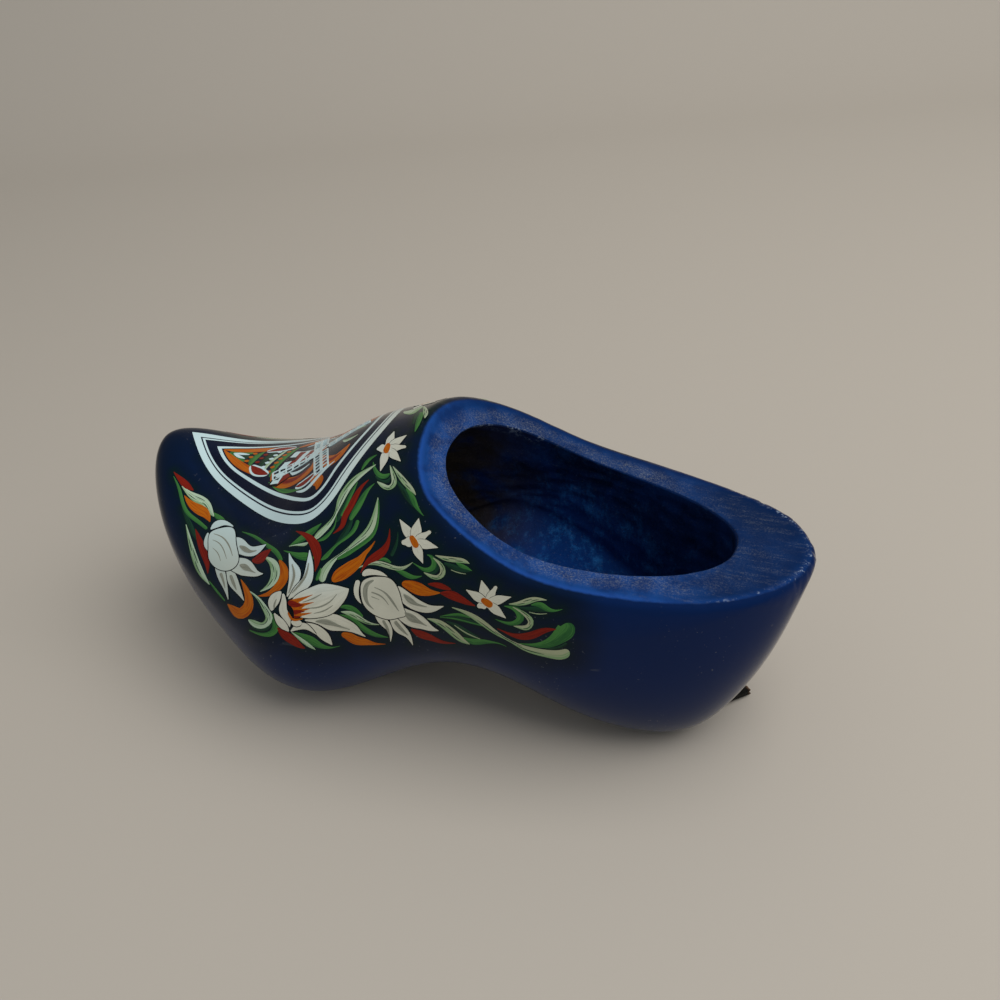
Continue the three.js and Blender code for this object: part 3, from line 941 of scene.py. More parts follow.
# %% Leaves round the tulip at the toe
leaves_at_the_toe = [
    ("red", [(173.8, 472, 0.5), (180.7, 479.5, 5.5), (187.5, 486, 6.5), (193.5, 490.5, 1)]),
    ("pale_green", [(182, 486, 1), (188.7, 493, 5), (198, 499, 9), (206, 503.6, 8), (210.5, 511.5, 5.5),
        (214, 516.5, 1)]),
    ("green", [(213, 513, 2), (218, 517, 5), (222.5, 519.5, 4), (225.5, 521, 1)]),
    ("orange", [(184.5, 495.5, 0.5), (188.7, 501.5, 5), (196.5, 508, 9.5), (205, 513.2, 9.5),
        (210, 522, 0.6)]),
    ("green", [(173.5, 476, 0.5), (179.5, 490, 3), (182, 500, 3.5), (187, 512, 4), (198, 521.5, 4),
        (207, 529, 3)]),
    ("dark_green", [(182.5, 508, 2), (188, 521, 5), (193, 532, 5), (197, 540, 2)]),
    ("red", [(195.5, 529, 0.6), (199.6, 540.4, 5.5), (203.6, 552, 7), (207, 563, 5),
        (207.8, 573.5, 0.5)]),
    ("pale_green", [(186, 524.5, 0.6), (190.5, 542.7, 4), (195.6, 560, 6), (202.5, 575, 5),
        (209.5, 584.6, 0.6)]),
    ("green", [(209, 581, 1), (217.5, 592, 2), (225, 601, 1)]),
    ("green", [(242, 531.8, 0.5), (255.3, 537, 3), (266.8, 545, 4), (276, 552, 5), (281.5, 561, 3.5)]),
    ("red", [(271.5, 549, 0.5), (265, 554, 6.5), (257.5, 560, 8), (252, 560.5, 2)]),
    ("pale_green", [(265.5, 557.5, 2), (272.5, 562.5, 7.5), (275.5, 571.5, 9), (271, 584, 6),
        (260, 591.6, 0.5)]),
    ("orange", [(279.5, 560, 2), (283.5, 567.5, 7), (284, 577, 8.5), (278, 587, 7.5), (268.5, 594, 4.5),
        (258, 596, 0.5)]),
    ("orange", [(241, 579.4, 0.5), (246.7, 591, 5.5), (249, 600, 8), (246.7, 609.3, 11),
        (240.4, 613.3, 11), (233.5, 609.3, 7), (227.7, 604, 0.5)]),
    ("pale_green", [(247.3, 589.7, 0.5), (257.6, 597.8, 2.5), (265.6, 609.3, 5.5), (269, 619.5, 7),
        (263.3, 625.3, 6), (252, 622, 5), (248.4, 619.6, 1)]),
    ("green", [(271, 614, 2), (276, 624.2, 7), (273, 632, 6.5), (263.3, 634.5, 3.5), (249.5, 630, 1)]),
    ("dark_green", [(252, 627, 1.5), (262, 630, 3), (270, 626, 3.5), (272, 618, 2)]),
]
print("leaves at the toe:", len(leaves_at_the_toe))

# %% Leaves under the big flowers and in the tail
leaves_under_the_big_flowers = [
    ("red", [(277.5, 627.6, 1), (284.4, 634.5, 7.5), (293, 640.5, 8), (300, 645.7, 4.5),
        (305, 648.3, 0.5)]),
    ("pale_green", [(291.5, 632, 0.6), (300, 638.8, 3), (308.5, 645, 3.3), (315.4, 649.6, 0.4)]),
    ("green", [(294, 632.5, 1), (303.4, 636.2, 5), (312, 641, 8), (320, 645.5, 5.5),
        (331.8, 647.6, 1.5), (340, 646, 0.3)]),
    ("orange", [(341.5, 634, 3.5), (348, 636, 7.5), (355.6, 640, 8.5), (364.6, 641.8, 6.5),
        (374.5, 643.6, 2.5), (385.4, 644, 0.3)]),
    ("green", [(338, 607, 1), (346.8, 607, 4.5), (355.7, 611, 5), (362.7, 617, 2)]),
    ("pale_green", [(341, 611.7, 0.6), (350.8, 613.8, 5), (360.7, 619, 4.5), (369.6, 623.3, 2.5),
        (379.5, 624.6, 0.4)]),
    ("green", [(338, 615, 1), (350, 617.8, 3.5), (360, 625.5, 5), (369.6, 632.2, 5), (379.5, 635.9, 3),
        (388.4, 637.4, 0.4)]),
    ("orange", [(402, 583, 5), (409, 585, 9.5), (419, 589, 12), (430, 592.4, 6.5), (440, 592.8, 1)]),
    ("red", [(428, 584, 1), (435.8, 584.8, 5), (443.7, 587, 5), (451, 589.4, 1)]),
    ("red", [(440, 592.9, 1), (449.6, 594.4, 8), (459, 598.3, 7.5), (467.7, 602.6, 4.5),
        (475.4, 605.9, 0.6)]),
    ("red", [(411, 629, 1), (419, 633.4, 6.5), (429.9, 637.4, 6), (441.7, 641.8, 3),
        (455.5, 643.3, 0.3)]),
]

leaves_in_the_tail = [
    ("pale_green", [(508.9, 604, 0.6), (518.4, 603.5, 4), (528, 601.1, 6), (536.6, 599.2, 4),
        (546.7, 600.2, 0.5)]),
    ("green", [(531, 605, 1), (540.4, 605, 5.5), (548, 609.3, 4.5), (555.8, 610.7, 2),
        (562.5, 609.3, 0.3)]),
    ("dark_green", [(512.7, 606, 1), (526, 608.8, 4), (540.4, 609.7, 5), (550, 611.7, 1)]),
    ("pale_green", [(529, 612, 0.5), (538.5, 614, 0.8), (547, 613.6, 0.4)]),
    ("green", [(495.5, 619.3, 0.5), (505, 622.7, 2.5), (514.6, 623, 5), (520.4, 618.4, 7.5),
        (518.4, 611.7, 6.5), (511.7, 607.4, 3.5), (504, 606, 0.5)]),
    ("pale_green", [(513.7, 626, 0.6), (521.3, 627.4, 3.5), (528, 627, 5.5), (530.9, 622.2, 5.5),
        (527.5, 616.4, 4.3), (521.3, 611.7, 2.5), (512.7, 606.9, 0.5)]),
    ("red", [(497.4, 628.4, 0.5), (508.9, 633.7, 2.5), (521.3, 636.5, 6), (533.8, 634.6, 7.5),
        (545.2, 630.3, 5), (556.2, 629.4, 0.5)]),
    ("green", [(519.4, 643.4, 0.5), (531.8, 645, 3), (543.3, 644.5, 7), (553.8, 640.5, 12),
        (562, 634, 17), (567, 627.5, 19), (566.5, 623, 17)]),
    ("pale_green", [(452, 607.4, 0.6), (464, 611.7, 3), (476.4, 618.4, 5), (486.9, 626, 5),
        (497.4, 633.7, 3.5), (510.8, 641.3, 2), (523.2, 647.5, 4.5), (537.6, 651.8, 6.5),
        (551, 654.2, 8), (563.4, 654.2, 9.5), (569.5, 651.5, 8)]),
    ("dark_green", [(545, 648, 2), (556, 648.5, 3), (567, 643.5, 3)]),
    ("green", [(440, 616.4, 0.4), (449.6, 615, 2), (462, 615.3, 3), (470, 618, 1)]),
    ("green", [(440, 617.4, 0.4), (452.4, 618.4, 1.2), (468.7, 622.2, 1.5), (483, 626, 1)]),
    ("dark_green", [(446, 616.5, 2), (458, 619, 4.5), (470, 621.5, 4), (480, 625, 1.5)]),
    ("pale_green", [(427.4, 618.6, 0.5), (437, 621.5, 4.5), (446, 627, 6.2), (454.3, 633.7, 6.7),
        (462, 639.9, 4.8), (469.7, 644.2, 0.6)]),
    ("green", [(463, 637.5, 1), (471.6, 641.3, 5.5), (481, 641.8, 5.3), (492.6, 642.3, 2),
        (501.2, 644.2, 0.8), (506.5, 646.6, 0.3)]),
    ("dark_green", [(446, 621.5, 1), (456.3, 626, 4.5), (466.8, 633.7, 7), (478.3, 638.4, 3.5)]),
    ("pale_green", [(454.4, 625, 0.5), (465.8, 632.7, 1.2), (480.2, 639, 0.5)]),
]
print("leaves in the tail:", len(leaves_in_the_tail))

# %% Veins, then all the leaves

# Each vein runs between two shares of the leaf's length, on one side of its middle.
vein_runs = ((0.22, 0.42, 1), (0.38, 0.62, -1), (0.58, 0.8, 1))
vein_widths = (0.3, 0.7, 0.7, 0.3)
vein_from_middle = 0.16
vein_lift = 0.5
shade_lift = 0.6
veined_width = 4


def add_veins(line, height):
    """Three short dark hairlines, to either side of the middle of a broad pale leaf."""
    for first, last, side in vein_runs:
        track, sideways, _ = drawn_track(line, np.linspace(first, last, len(vein_widths)))
        track[:, :2] += sideways * track[:, 2:] * vein_from_middle * side
        track[:, 2] = vein_widths
        add_stroke("dark_green", track, height)


for group in (leaves_by_the_panel, leaves_by_the_small_flowers, leaves_at_the_toe,
              leaves_under_the_big_flowers, leaves_in_the_tail):
    for paint, line in group:
        add_stroke(paint, line, layers[paint] * layer)
        if paint == "pale_green" and max(width for _, _, width in line) > veined_width:
            add_veins(line, (layers[paint] + vein_lift) * layer)
for paint, line in leaf_shades:
    add_stroke(paint, line, (layers["pale_green"] + shade_lift) * layer)
print("leaf strokes:", sum(map(len, films.values())) // 2, "on each side")

# %% [markdown]
# There are three kinds of flower: small stars with six petals and an orange trumpet, tulips seen
# from the side, and one large daffodil. A petal is one stroke of white over a slightly wider
# stroke of black, so its edge shows against the next one.

# %% Petals, and the three small flowers
petal_edge = 1.5
star_edge = 0.8
trumpet_edge = 1.2
least_petal_tip = 0.5

# Shares of the way from a star petal's tip to its root, with shares of the petal's width.
star_petal = ((0.28, 0.62), (0.5, 1), (0.95, 0.6))
trumpet_ends = (0.62, 0.85)


def add_petal(line, order, edge=petal_edge):
    """One white stroke over a black one that is wider by the edge; later petals lie higher."""
    line = np.array(line, float)
    height = (layers["black"] + order) * layer
    add_stroke("black", line + [0, 0, edge], height)
    add_stroke("white", line, height + layer / 2)


def add_star(trumpet, petals):
    """A small flower: kite-shaped petals run from tip to root, and the trumpet lies on top."""
    (tip_x, tip_y), (root_x, root_y), width = trumpet
    tip, root = np.array([tip_x, tip_y]), np.array([root_x, root_y])
    heart = (tip + root) / 2
    for order, (out_x, out_y, petal_width, bluntness) in enumerate(petals):
        out = np.array([out_x, out_y])
        shape = [(0, max(bluntness * petal_width, least_petal_tip))]
        shape += [(place, wide * petal_width) for place, wide in star_petal]
        line = [(*(out + (heart - out) * place), wide) for place, wide in shape]
        add_petal(line, order, star_edge)
    height = (layers["black"] + len(petals)) * layer
    line = np.array([(*tip, width * trumpet_ends[0]), (*heart, width), (*root, width * trumpet_ends[1])])
    add_stroke("white", line + [0, 0, trumpet_edge], height)
    add_stroke("orange", line, height + layer)


# Each star is its trumpet, from tip to root with a width, and its petals: tip, width, bluntness.
star_flowers = [
    (((411, 535.5), (417.5, 547.5), 6.3), [
        (399.8, 519.3, 9, 0), (418.9, 518.3, 10.5, 0), (431, 531.3, 7.5, 0.5),
        (438.1, 547.5, 9, 0), (423.1, 563.2, 9, 0), (401.8, 542.5, 9.5, 0.6),
    ]),
    (((389.5, 443.5), (385.3, 453.5), 5.6), [
        (394.4, 431.6, 7.5, 0), (406.7, 435.4, 7, 0), (406.3, 446.8, 6.5, 0.4),
        (400.9, 461.5, 8.5, 0), (380.6, 471.3, 7.5, 0), (377, 449.5, 8, 0.2),
    ]),
    (((481.6, 598.6), (492.5, 606), 6.8), [
        (481.6, 580.1, 10.5, 0), (496.5, 586, 7.5, 0.45), (511.3, 596.8, 9, 0),
        (506, 617.9, 8.5, 0), (477.5, 606.5, 9.5, 0.6), (466.3, 589.5, 8.5, 0),
    ]),
]
for trumpet, petals in star_flowers:
    add_star(trumpet, petals)
print("star flowers:", len(star_flowers))

# %% [markdown]
# A tulip is a cup with dark-edged lips, and four petals that fall open to one side. The cup is too
# wide for one stroke, so it is a patch: its outline, filled inwards.

# %% The two tulips
outline_edge = 0.8
lip_edge = 1.2


def grown(outline, edge):
    """The outline moved away from its own middle by an edge."""
    outline = np.array(outline, float)
    return outline + unit(outline - outline.mean(0)) * edge


def add_tulip(cup, lips, petals, shades):
    """Fallen petals first, then the lips and the cup above them, and grey shading on top."""
    for order, line in enumerate(petals):
        add_petal(line, order)
    height = (layers["black"] + len(petals)) * layer
    for line in lips:
        add_stroke("black", np.array(line) + [0, 0, lip_edge], height)
        add_stroke("white", line, height + layer / 2)
        height = height + layer
    add_patch("black", grown(cup, outline_edge), height)
    add_patch("white", cup, height + layer)
    for line in shades:
        add_stroke("grey", line, height + 2 * layer)


tulip_at_the_toe = (
    [(210.5, 533.5), (208.8, 547.3), (209.4, 558.7), (215.1, 566.8), (226, 570.8), (233.5, 568.5),
     (238, 563.3), (236.3, 542.7), (233.5, 528.7), (220.8, 528.5)],
    [[(211, 529.5, 1), (216.3, 525, 6), (224.3, 523, 5), (233.5, 526.6, 1)],
     [(208.5, 533, 1.5), (206.5, 540, 3.5), (206.5, 546, 3.5), (208.3, 550.5, 1)]],
    [[(230, 545, 15), (239, 546, 16), (245, 549.5, 12.5), (253, 551.3, 9.5), (260, 548.4, 5.5),
      (266.2, 544.6, 0.5)],
     [(227, 560, 7), (230.6, 572, 8), (233.5, 581.7, 10), (238, 589.7, 6.5), (244.2, 600.6, 0.5)],
     [(218, 558, 8), (220.3, 569.6, 9), (223, 579.4, 7.5), (226, 588.6, 4), (228.5, 599.5, 0.5)],
     [(228, 561, 12), (237, 565, 15), (245, 567.5, 17), (252, 571.3, 11.5), (257.6, 573.6, 5.5),
      (263.3, 573.7, 0.5)]],
    [[(214, 534, 0.5), (222, 537, 1.2), (229, 545, 1.5), (233, 556, 0.5)],
     [(213, 540, 0.5), (219, 543, 1), (224, 550, 1), (227, 559, 0.4)],
     [(213, 548, 0.4), (218, 553, 0.9), (221, 561, 0.4)],
     [(240, 546, 1), (245, 549, 5), (251, 551.5, 2.5), (257, 550.5, 0.4)],
     [(240, 565, 1), (245, 567, 6), (250, 570, 3), (256, 573, 0.4)],
     [(231, 575, 2.5), (233.5, 582, 3), (237, 590, 0.4)],
     [(221, 573, 3), (223.5, 580, 2), (225.5, 588, 0.4)]],
)
tulip_on_the_side = (
    [(363.2, 581), (369.6, 577.6), (379.5, 576.6), (390.3, 578.6), (396.3, 585), (400.7, 596.8),
     (404.2, 608.7), (405.6, 615), (400.2, 617), (390.3, 619), (380.5, 617), (370.6, 611.7),
     (363.7, 603.8), (361.2, 593.9)],
    [[(363, 575.5, 3), (366, 572.8, 6), (373, 572, 5.5), (380.5, 573.3, 4), (387.4, 576.2, 0.4)],
     [(358.5, 580, 4.5), (356.5, 588.5, 5), (357.7, 597.5, 3.5), (361.2, 603.3, 0.4)]],
    [[(394, 588, 9), (402.5, 594.5, 11), (410, 600.8, 12), (420, 606.2, 10.5), (429.9, 608.7, 7.5),
      (437.8, 607.7, 4), (443.7, 606, 0.5)],
     [(377, 607, 6), (379.5, 617, 7), (384.4, 622.5, 8), (389.8, 629.4, 5), (390.6, 641.3, 0.5)],
     [(390, 608, 6), (394, 619, 8), (399.2, 627.5, 10), (406.6, 633.4, 6.5), (412.9, 644.8, 0.5)],
     [(394, 607, 9), (404, 614.6, 13), (414, 619.6, 15), (423, 623.5, 11), (430.9, 628, 5.5),
      (438.8, 630.4, 0.5)]],
    [[(374, 580, 1.5), (367.6, 584, 4), (365.4, 594, 4.5), (368, 603, 2.5), (374, 609, 0.5)],
     [(374.5, 587, 0.6), (384.4, 591.9, 1.5), (392.3, 600.8, 2.2), (399, 610.7, 0.5)],
     [(371.6, 591.9, 1.2), (379.5, 594.9, 1.5), (385.4, 599.8, 1), (388.9, 604.8, 0.4)],
     [(371.6, 596.3, 1), (379.5, 599.3, 0.4)],
     [(404, 594, 1), (409, 599, 5), (416, 603.5, 3), (427, 606.5, 0.4)],
     [(405, 612, 1), (411, 617, 7), (418, 621, 4), (427, 625.5, 0.4)],
     [(383, 620, 2), (387, 627, 2.5), (390, 636, 0.4)],
     [(395, 621, 3), (401, 628, 3), (408, 635, 0.4)]],
)
add_tulip(*tulip_at_the_toe)
add_tulip(*tulip_on_the_side)
print("strokes so far:", len(stroke_middles))

# %% [markdown]
# The daffodil is the largest flower. Its long trumpet lies over a ring of back petals, and red,
# orange and grey lines shade it. Each mark lies a little over the one before, as it was painted,
# so crossing lines never share a height.

# %% The daffodil
daffodil_back = [
    [(289.3, 553, 0.5), (292, 563, 6), (295, 571.6, 11.5), (294, 580.3, 10), (290.5, 589, 5.5),
     (287.2, 596.6, 1)],
    [(309.8, 550, 0.5), (310, 561.3, 5.5), (309.4, 571.6, 8.5), (306.8, 581, 10), (299, 589, 9),
     (288.7, 598.8, 1)],
    [(305, 620, 1.5), (319, 620.7, 7), (330, 621.6, 16), (343, 624.2, 13), (355, 629, 7.5),
     (361, 633.5, 3), (365.6, 636.4, 0.5)],
    [(305, 622.9, 1), (313.7, 626.7, 6), (321.4, 632.8, 9), (327.5, 638.8, 7), (332.2, 644.6, 0.5)],
    [(291, 631, 1), (298, 626.7, 6), (305, 626, 6), (310.5, 629, 3.5), (316.3, 634, 0.5)],
    [(274.5, 613, 1), (279.5, 620.5, 7), (284.5, 626, 7), (289, 631, 1)],
    [(283.5, 593.5, 2), (284, 602, 5.5), (283.5, 610.5, 8), (287, 617, 7), (290, 626.7, 0.5)],
    [(281.5, 591.5, 2), (276.5, 597, 9.5), (273, 604, 9), (272, 610.5, 2)],
    [(291.5, 621, 2), (296, 623, 6), (302, 622, 4)],
]
daffodil_trumpet = [
    (291.3, 608.7, 15), (303.4, 605.2, 26), (315.4, 602.2, 31), (327.5, 598.3, 31), (338.7, 594, 20),
    (346.4, 590.2, 7), (349, 588.6, 0.6),
]
daffodil_marks = [
    ("orange", [(290, 607, 10), (295, 606.5, 12), (300, 606, 7), (305, 605.5, 0.5)]),
    ("orange", [(289, 602.5, 4), (297, 600.5, 4.5), (304, 598, 2.5), (313, 594.5, 0.4)]),
    ("orange", [(294, 606, 4), (303, 604.5, 3), (314, 602, 0.4)]),
    ("orange", [(294, 610.5, 4), (303, 609.6, 2.6), (311, 608, 0.4)]),
    ("orange", [(294, 615, 4), (303, 614, 2.6), (312, 612.5, 0.4)]),
    ("orange", [(288.5, 612, 1.5), (293, 619, 2.5), (303, 618.3, 0.8)]),
    ("red", [(288.6, 601.5, 3.5), (293, 603.6, 6), (299, 605, 3.5), (304, 604.6, 0.4)]),
    ("red", [(293, 612.5, 5), (298, 611.5, 4), (305, 611, 0.4)]),
    ("red", [(292, 616.5, 3), (297, 616.6, 2), (302, 616, 0.4)]),
    ("black", [(288.8, 605.5, 3), (291, 610, 5), (293, 615, 3), (294, 618, 0.8)]),
    ("grey", [(303, 602, 0.6), (314, 598, 1.3), (322, 593.5, 0.5)]),
    ("grey", [(306, 608, 0.5), (318, 607, 1.4), (330, 601.5, 1.2), (337, 594, 0.5)]),
    ("grey", [(314, 613, 0.5), (325, 610, 1.2), (333, 605, 0.5)]),
    ("grey", [(292.5, 564, 0.5), (294.5, 574, 2), (292, 585, 1.5), (289, 593, 0.4)]),
    ("grey", [(309, 563, 0.5), (306.5, 574, 1.8), (301, 583, 2), (292, 593, 0.4)]),
    ("grey", [(316, 621, 1), (326, 621.5, 5), (336, 624.5, 2.5), (350, 629, 0.5)]),
    ("grey", [(277, 599, 0.5), (275, 604, 1.6), (274.5, 609, 0.6)]),
]
mark_lift = 0.15

for order, line in enumerate(daffodil_back):
    add_petal(line, order)
top_height = (layers["black"] + len(daffodil_back)) * layer
add_petal(daffodil_trumpet, len(daffodil_back))
for step, (paint, line) in enumerate(daffodil_marks):
    add_stroke(paint, line, top_height + (1 + mark_lift * step) * layer)
print("strokes in all:", len(stroke_middles))

# %% [markdown]
# A shield-shaped panel covers the vamp: a broad white band, a fine line, and a picture inside
# another fine line. Each band follows the same outline, drawn in towards the middle so far that
# its edges stay parallel.

# %% The panel's outline and bands
panel_side = [
    (66, 0), (64.8, 7.8), (62.4, 15.8), (60.4, 20.6), (56.8, 23.6), (51.3, 23.7), (45, 21.7), (34.3, 16.9),
    (24.6, 12.4), (17.3, 8.5), (12.1, 4.7), (7.3, 0),
]
panel_lean = 0.052
panel_middle = np.array([43, 0])
panel_half_points = 120
band_across = 5
least_lean = 0.45
ground_inset = 1.0
ground_every = 4
ground_points = 220
ground_rings = 30

# Each white band runs from one depth to another, measured inwards from the outline.
bands = ((0, 1.7), (2.05, 2.6), (5.0, 5.9))

side_line = np.array([(panel_side[1][0], -panel_side[1][1])] + panel_side, float)
side_run = run_along(side_line)
half = spline(side_run, side_line)(np.linspace(side_run[1], side_run[-1], panel_half_points))
panel_outline = np.concatenate([half, half[-2:0:-1] * [1, -1]])


def drop_on_panel(plan):
    """Place on the wood for a place in the panel, whose axis leans a little to the far side."""
    lean = panel_lean * (panel_end - plan[..., 0])
    return drop_on_top(plan + np.stack([0 * lean, lean], -1))


def panel_inset(depth):
    """The outline moved to its middle by the depth over the cosine between that way and square."""
    step = np.roll(panel_outline, -1, 0) - np.roll(panel_outline, 1, 0)
    tip = panel_half_points - 1
    step[tip] = panel_outline[tip] - panel_outline[tip - 1]
    square = unit(np.stack([step[:, 1], -step[:, 0]], -1))
    away = unit(panel_outline - panel_middle)
    lean = np.abs(np.sum(square * away, 1))
    return panel_outline - away * (depth / np.maximum(lean, least_lean))[:, None]


def add_band(paint, outer_depth, inner_depth, height):
    """Closed film between two insets of the panel: a loop of points across, carried round."""
    share = np.linspace(0, 1, band_across)[:, None, None]
    flat = panel_inset(outer_depth) * (1 - share) + panel_inset(inner_depth) * share
    loops, heights, sides = film_slices(drop_on_panel(np.moveaxis(flat, 0, 1)), height)
    rows, count = loops.shape[:2]
    number = np.arange(rows * count).reshape(rows, count)
    ahead, beside = np.roll(number, -1, 0), np.roll(number, -1, 1)
    quads = np.stack([number, beside, np.roll(beside, -1, 0), ahead], -1).reshape(-1, 4)
    values = {"side": sides, "run": np.repeat(np.linspace(0, 1, rows), count)}
    add_film(paint, loops.reshape(-1, 3), heights, [quads], values, False)


ground_outline = panel_inset(ground_inset)[::ground_every]
add_patch("ground", ground_outline, layer, drop_on_panel, False, ground_points, ground_rings)
for outer_depth, inner_depth in bands:
    add_band("white", outer_depth, inner_depth, 2 * layer)
print("panel:", side_line[1, 0] - side_line[-1, 0], "mm long")

# %% [markdown]
# The picture inside is a small landscape of the common souvenir kind: a mill with lattice sails,
# a cottage, a meadow with rows of flowers, and loose curls of colour round them. It is drawn from
# scratch in millimetres seen from above, with its sky at the throat.

# %% A small landscape
inner_line = panel_inset(bands[-1][1])[:panel_half_points][::-1]
edge_points = 5


def straight(corners):
    """Points along a polygon's edges, so that a spline through them keeps the corners."""
    corners = np.array(corners, float)
    share = np.linspace(0, 1, edge_points, endpoint=False)[:, None]
    return np.concatenate([a + (b - a) * share for a, b in zip(corners, np.roll(corners, -1, 0))])


def both_ways(lines):
    """Strokes given by x and a share of the room at x, drawn on both sides of the middle."""
    drawn = []
    for side in (-1, 1):
        for paint, line in lines:
            line = np.array(line, float)
            line[:, 1] *= side * np.interp(line[:, 0], inner_line[:, 0], inner_line[:, 1])
            drawn.append((paint, line))
    return drawn


meadow = [
    ("dark_green", [(22.8, -3, 0.3), (22.4, 0, 2.4), (22.8, 3, 0.3)]),
    ("green", [(26.2, -3.8, 0.3), (25.4, -1, 2), (26, 3.6, 0.3)]),
    ("dark_green", [(29.6, -5.2, 0.3), (28.8, 0, 2.2), (29.6, 5.2, 0.3)]),
    ("pale_green", [(31.8, -6.6, 0.2), (31, -2, 1.2), (31.6, 2, 1), (31.8, 6.4, 0.2)]),
    ("green", [(34.6, -7.6, 0.3), (33.8, -3, 2), (34, 3, 1.8), (34.6, 7.6, 0.3)]),
]
row_starts = ((24, -1.9, "orange"), (27.2, -1.9, "red"), (30.2, -3.8, "white"), (33, -5.7, "orange"))
bloom_spacing = 1.9
flower_rows = [
    (paint, [(x, y - 0.5, 0.7), (x + 0.1, y, 1.35), (x, y + 0.5, 0.7)])
    for x, start, paint in row_starts
    for y in np.arange(start, -start + 0.1, bloom_spacing)
]
curls = [
    ("orange", [(16.2, 0.1, 0.3), (18.6, 0.5, 1.4), (22.4, 0.66, 2.2), (27, 0.74, 2), (31, 0.82, 0.3)]),
    ("green", [(18, 0.05, 0.3), (20, 0.3, 1.4), (22.8, 0.36, 1.1), (24.8, 0.34, 0.2)]),
    ("white", [(19, 0, 0.3), (21, 0.16, 1), (23, 0.2, 0.2)]),
    ("orange", [(34.6, 0.6, 0.3), (37, 0.73, 2.6), (41.2, 0.78, 3.4), (45.8, 0.68, 3), (48.2, 0.5, 2),
        (47.2, 0.36, 0.3)]),
    ("red", [(37.2, 0.72, 0.2), (41.2, 0.75, 1.3), (45.4, 0.64, 1.2), (47.2, 0.48, 0.2)]),
    ("green", [(35.6, 0.86, 0.2), (39.6, 0.92, 1), (44.4, 0.93, 1.1), (49.2, 0.86, 0.3)]),
    ("white", [(37.6, 0.48, 0.2), (41, 0.57, 1.1), (44.4, 0.5, 0.9), (46, 0.38, 0.2)]),
    ("orange", [(49, 0.26, 0.3), (51.8, 0.42, 2.4), (55, 0.52, 3.6), (57.6, 0.46, 0.4)]),
    ("red", [(50.8, 0.36, 0.2), (53.8, 0.48, 1.4), (56.4, 0.48, 0.2)]),
    ("orange", [(49.6, 0.64, 0.3), (52.4, 0.74, 2.4), (54.4, 0.85, 2), (54.6, 0.94, 0.3)]),
    ("white", [(47.6, 0.92, 0.2), (50.8, 0.88, 1.1), (53.6, 0.66, 1), (56, 0.6, 0.2)]),
    ("pale_green", [(53.4, 0.08, 0.2), (55.6, 0.16, 1.3), (58, 0.2, 0.2)]),
]
white_edge = 1.1
edged = [
    ("red", [(26.6, 0.5, 0.2), (29.8, 0.66, 2.2), (33.6, 0.66, 0.3)]),
    ("red", [(46.4, 0.84, 0.2), (48.8, 0.78, 1.7), (51.2, 0.62, 0.3)]),
]
mill_walls = [
    ("black", [(35.4, -5.8), (35.4, 3.8), (46.8, 1.9), (48.6, -1), (46.8, -3.9)]),
    ("white", [(35.9, -5.2), (35.9, 3.2), (46.5, 1.4), (46.5, -3.4)]),
    ("orange", [(46.6, -3.4), (46.6, 1.4), (48.1, -1)]),
    ("red", [(37.9, -4.5), (37.9, 2.5), (39.7, 2.2), (39.7, -4.2)]),
    ("red", [(41.5, -3.9), (41.5, 1.9), (43.2, 1.6), (43.2, -3.6)]),
    ("black", [(36, -2.1), (36, 0.1), (38.6, -0.3), (38.6, -1.7)]),
]
cottage_walls = [
    ("black", [(36.2, -10.8), (36.2, -6.2), (39.2, -5.8), (42.2, -8.6), (39.2, -11.4)]),
    ("white", [(36.7, -10.4), (36.7, -6.6), (39, -6.6), (39, -10.4)]),
    ("red", [(39.1, -10.9), (39.1, -6.3), (41.6, -8.6)]),
    ("black", [(36.7, -9.1), (36.7, -8.1), (38.3, -8.1), (38.3, -9.1)]),
]
print("walls:", len(mill_walls), "of the mill,", len(cottage_walls), "of the cottage")

# %% The mill's sails
hub = np.array([46.4, -1])
sail_length = 12.5
sail_width = 3.4
sail_start = 2.2
sail_bars = 7
sail_turn = 32
spar_width = 0.7
bar_width = 0.42


def sail(turn):
    """One sail: a spar from the hub, two long edges and a row of short bars between them."""
    out = np.array([math.cos(turn), math.sin(turn)])
    aside = np.array([-out[1], out[0]])

    def bar(start, end, side_start, side_end, width):
        ends = (hub + out * start + aside * side_start, hub + out * end + aside * side_end)
        middle = (ends[0] + ends[1]) / 2
        return [(*ends[0], width), (*middle, width), (*ends[1], width)]

    lines = [bar(0, sail_length, 0, 0, spar_width)]
    lines.append(bar(sail_start, sail_length, -sail_width / 2, -sail_width / 2, bar_width))
    lines.append(bar(sail_start, sail_length, sail_width / 2, sail_width / 2, bar_width))
    for place in np.linspace(sail_start, sail_length, sail_bars):
        lines.append(bar(place, place, -sail_width / 2, sail_width / 2, bar_width))
    return lines


print("bars in a sail:", len(sail(0)))

# %% The landscape on the wood

# Layers over the ground: one for each paint, then what lies over the meadow.
picture_layer = 1.5 * layer
steps = {"dark_green": 0, "green": 1, "pale_green": 2, "orange": 3, "red": 4, "white": 5}
bloom_step = 4
edge_step = 6
wall_step = 8
wall_steps = len(mill_walls)
sail_step = 14
wall_points = 60
wall_patch_rings = 4


def add_to_picture(paint, line, step):
    add_stroke(paint, line, picture_layer + step * layer, drop_on_panel, False)


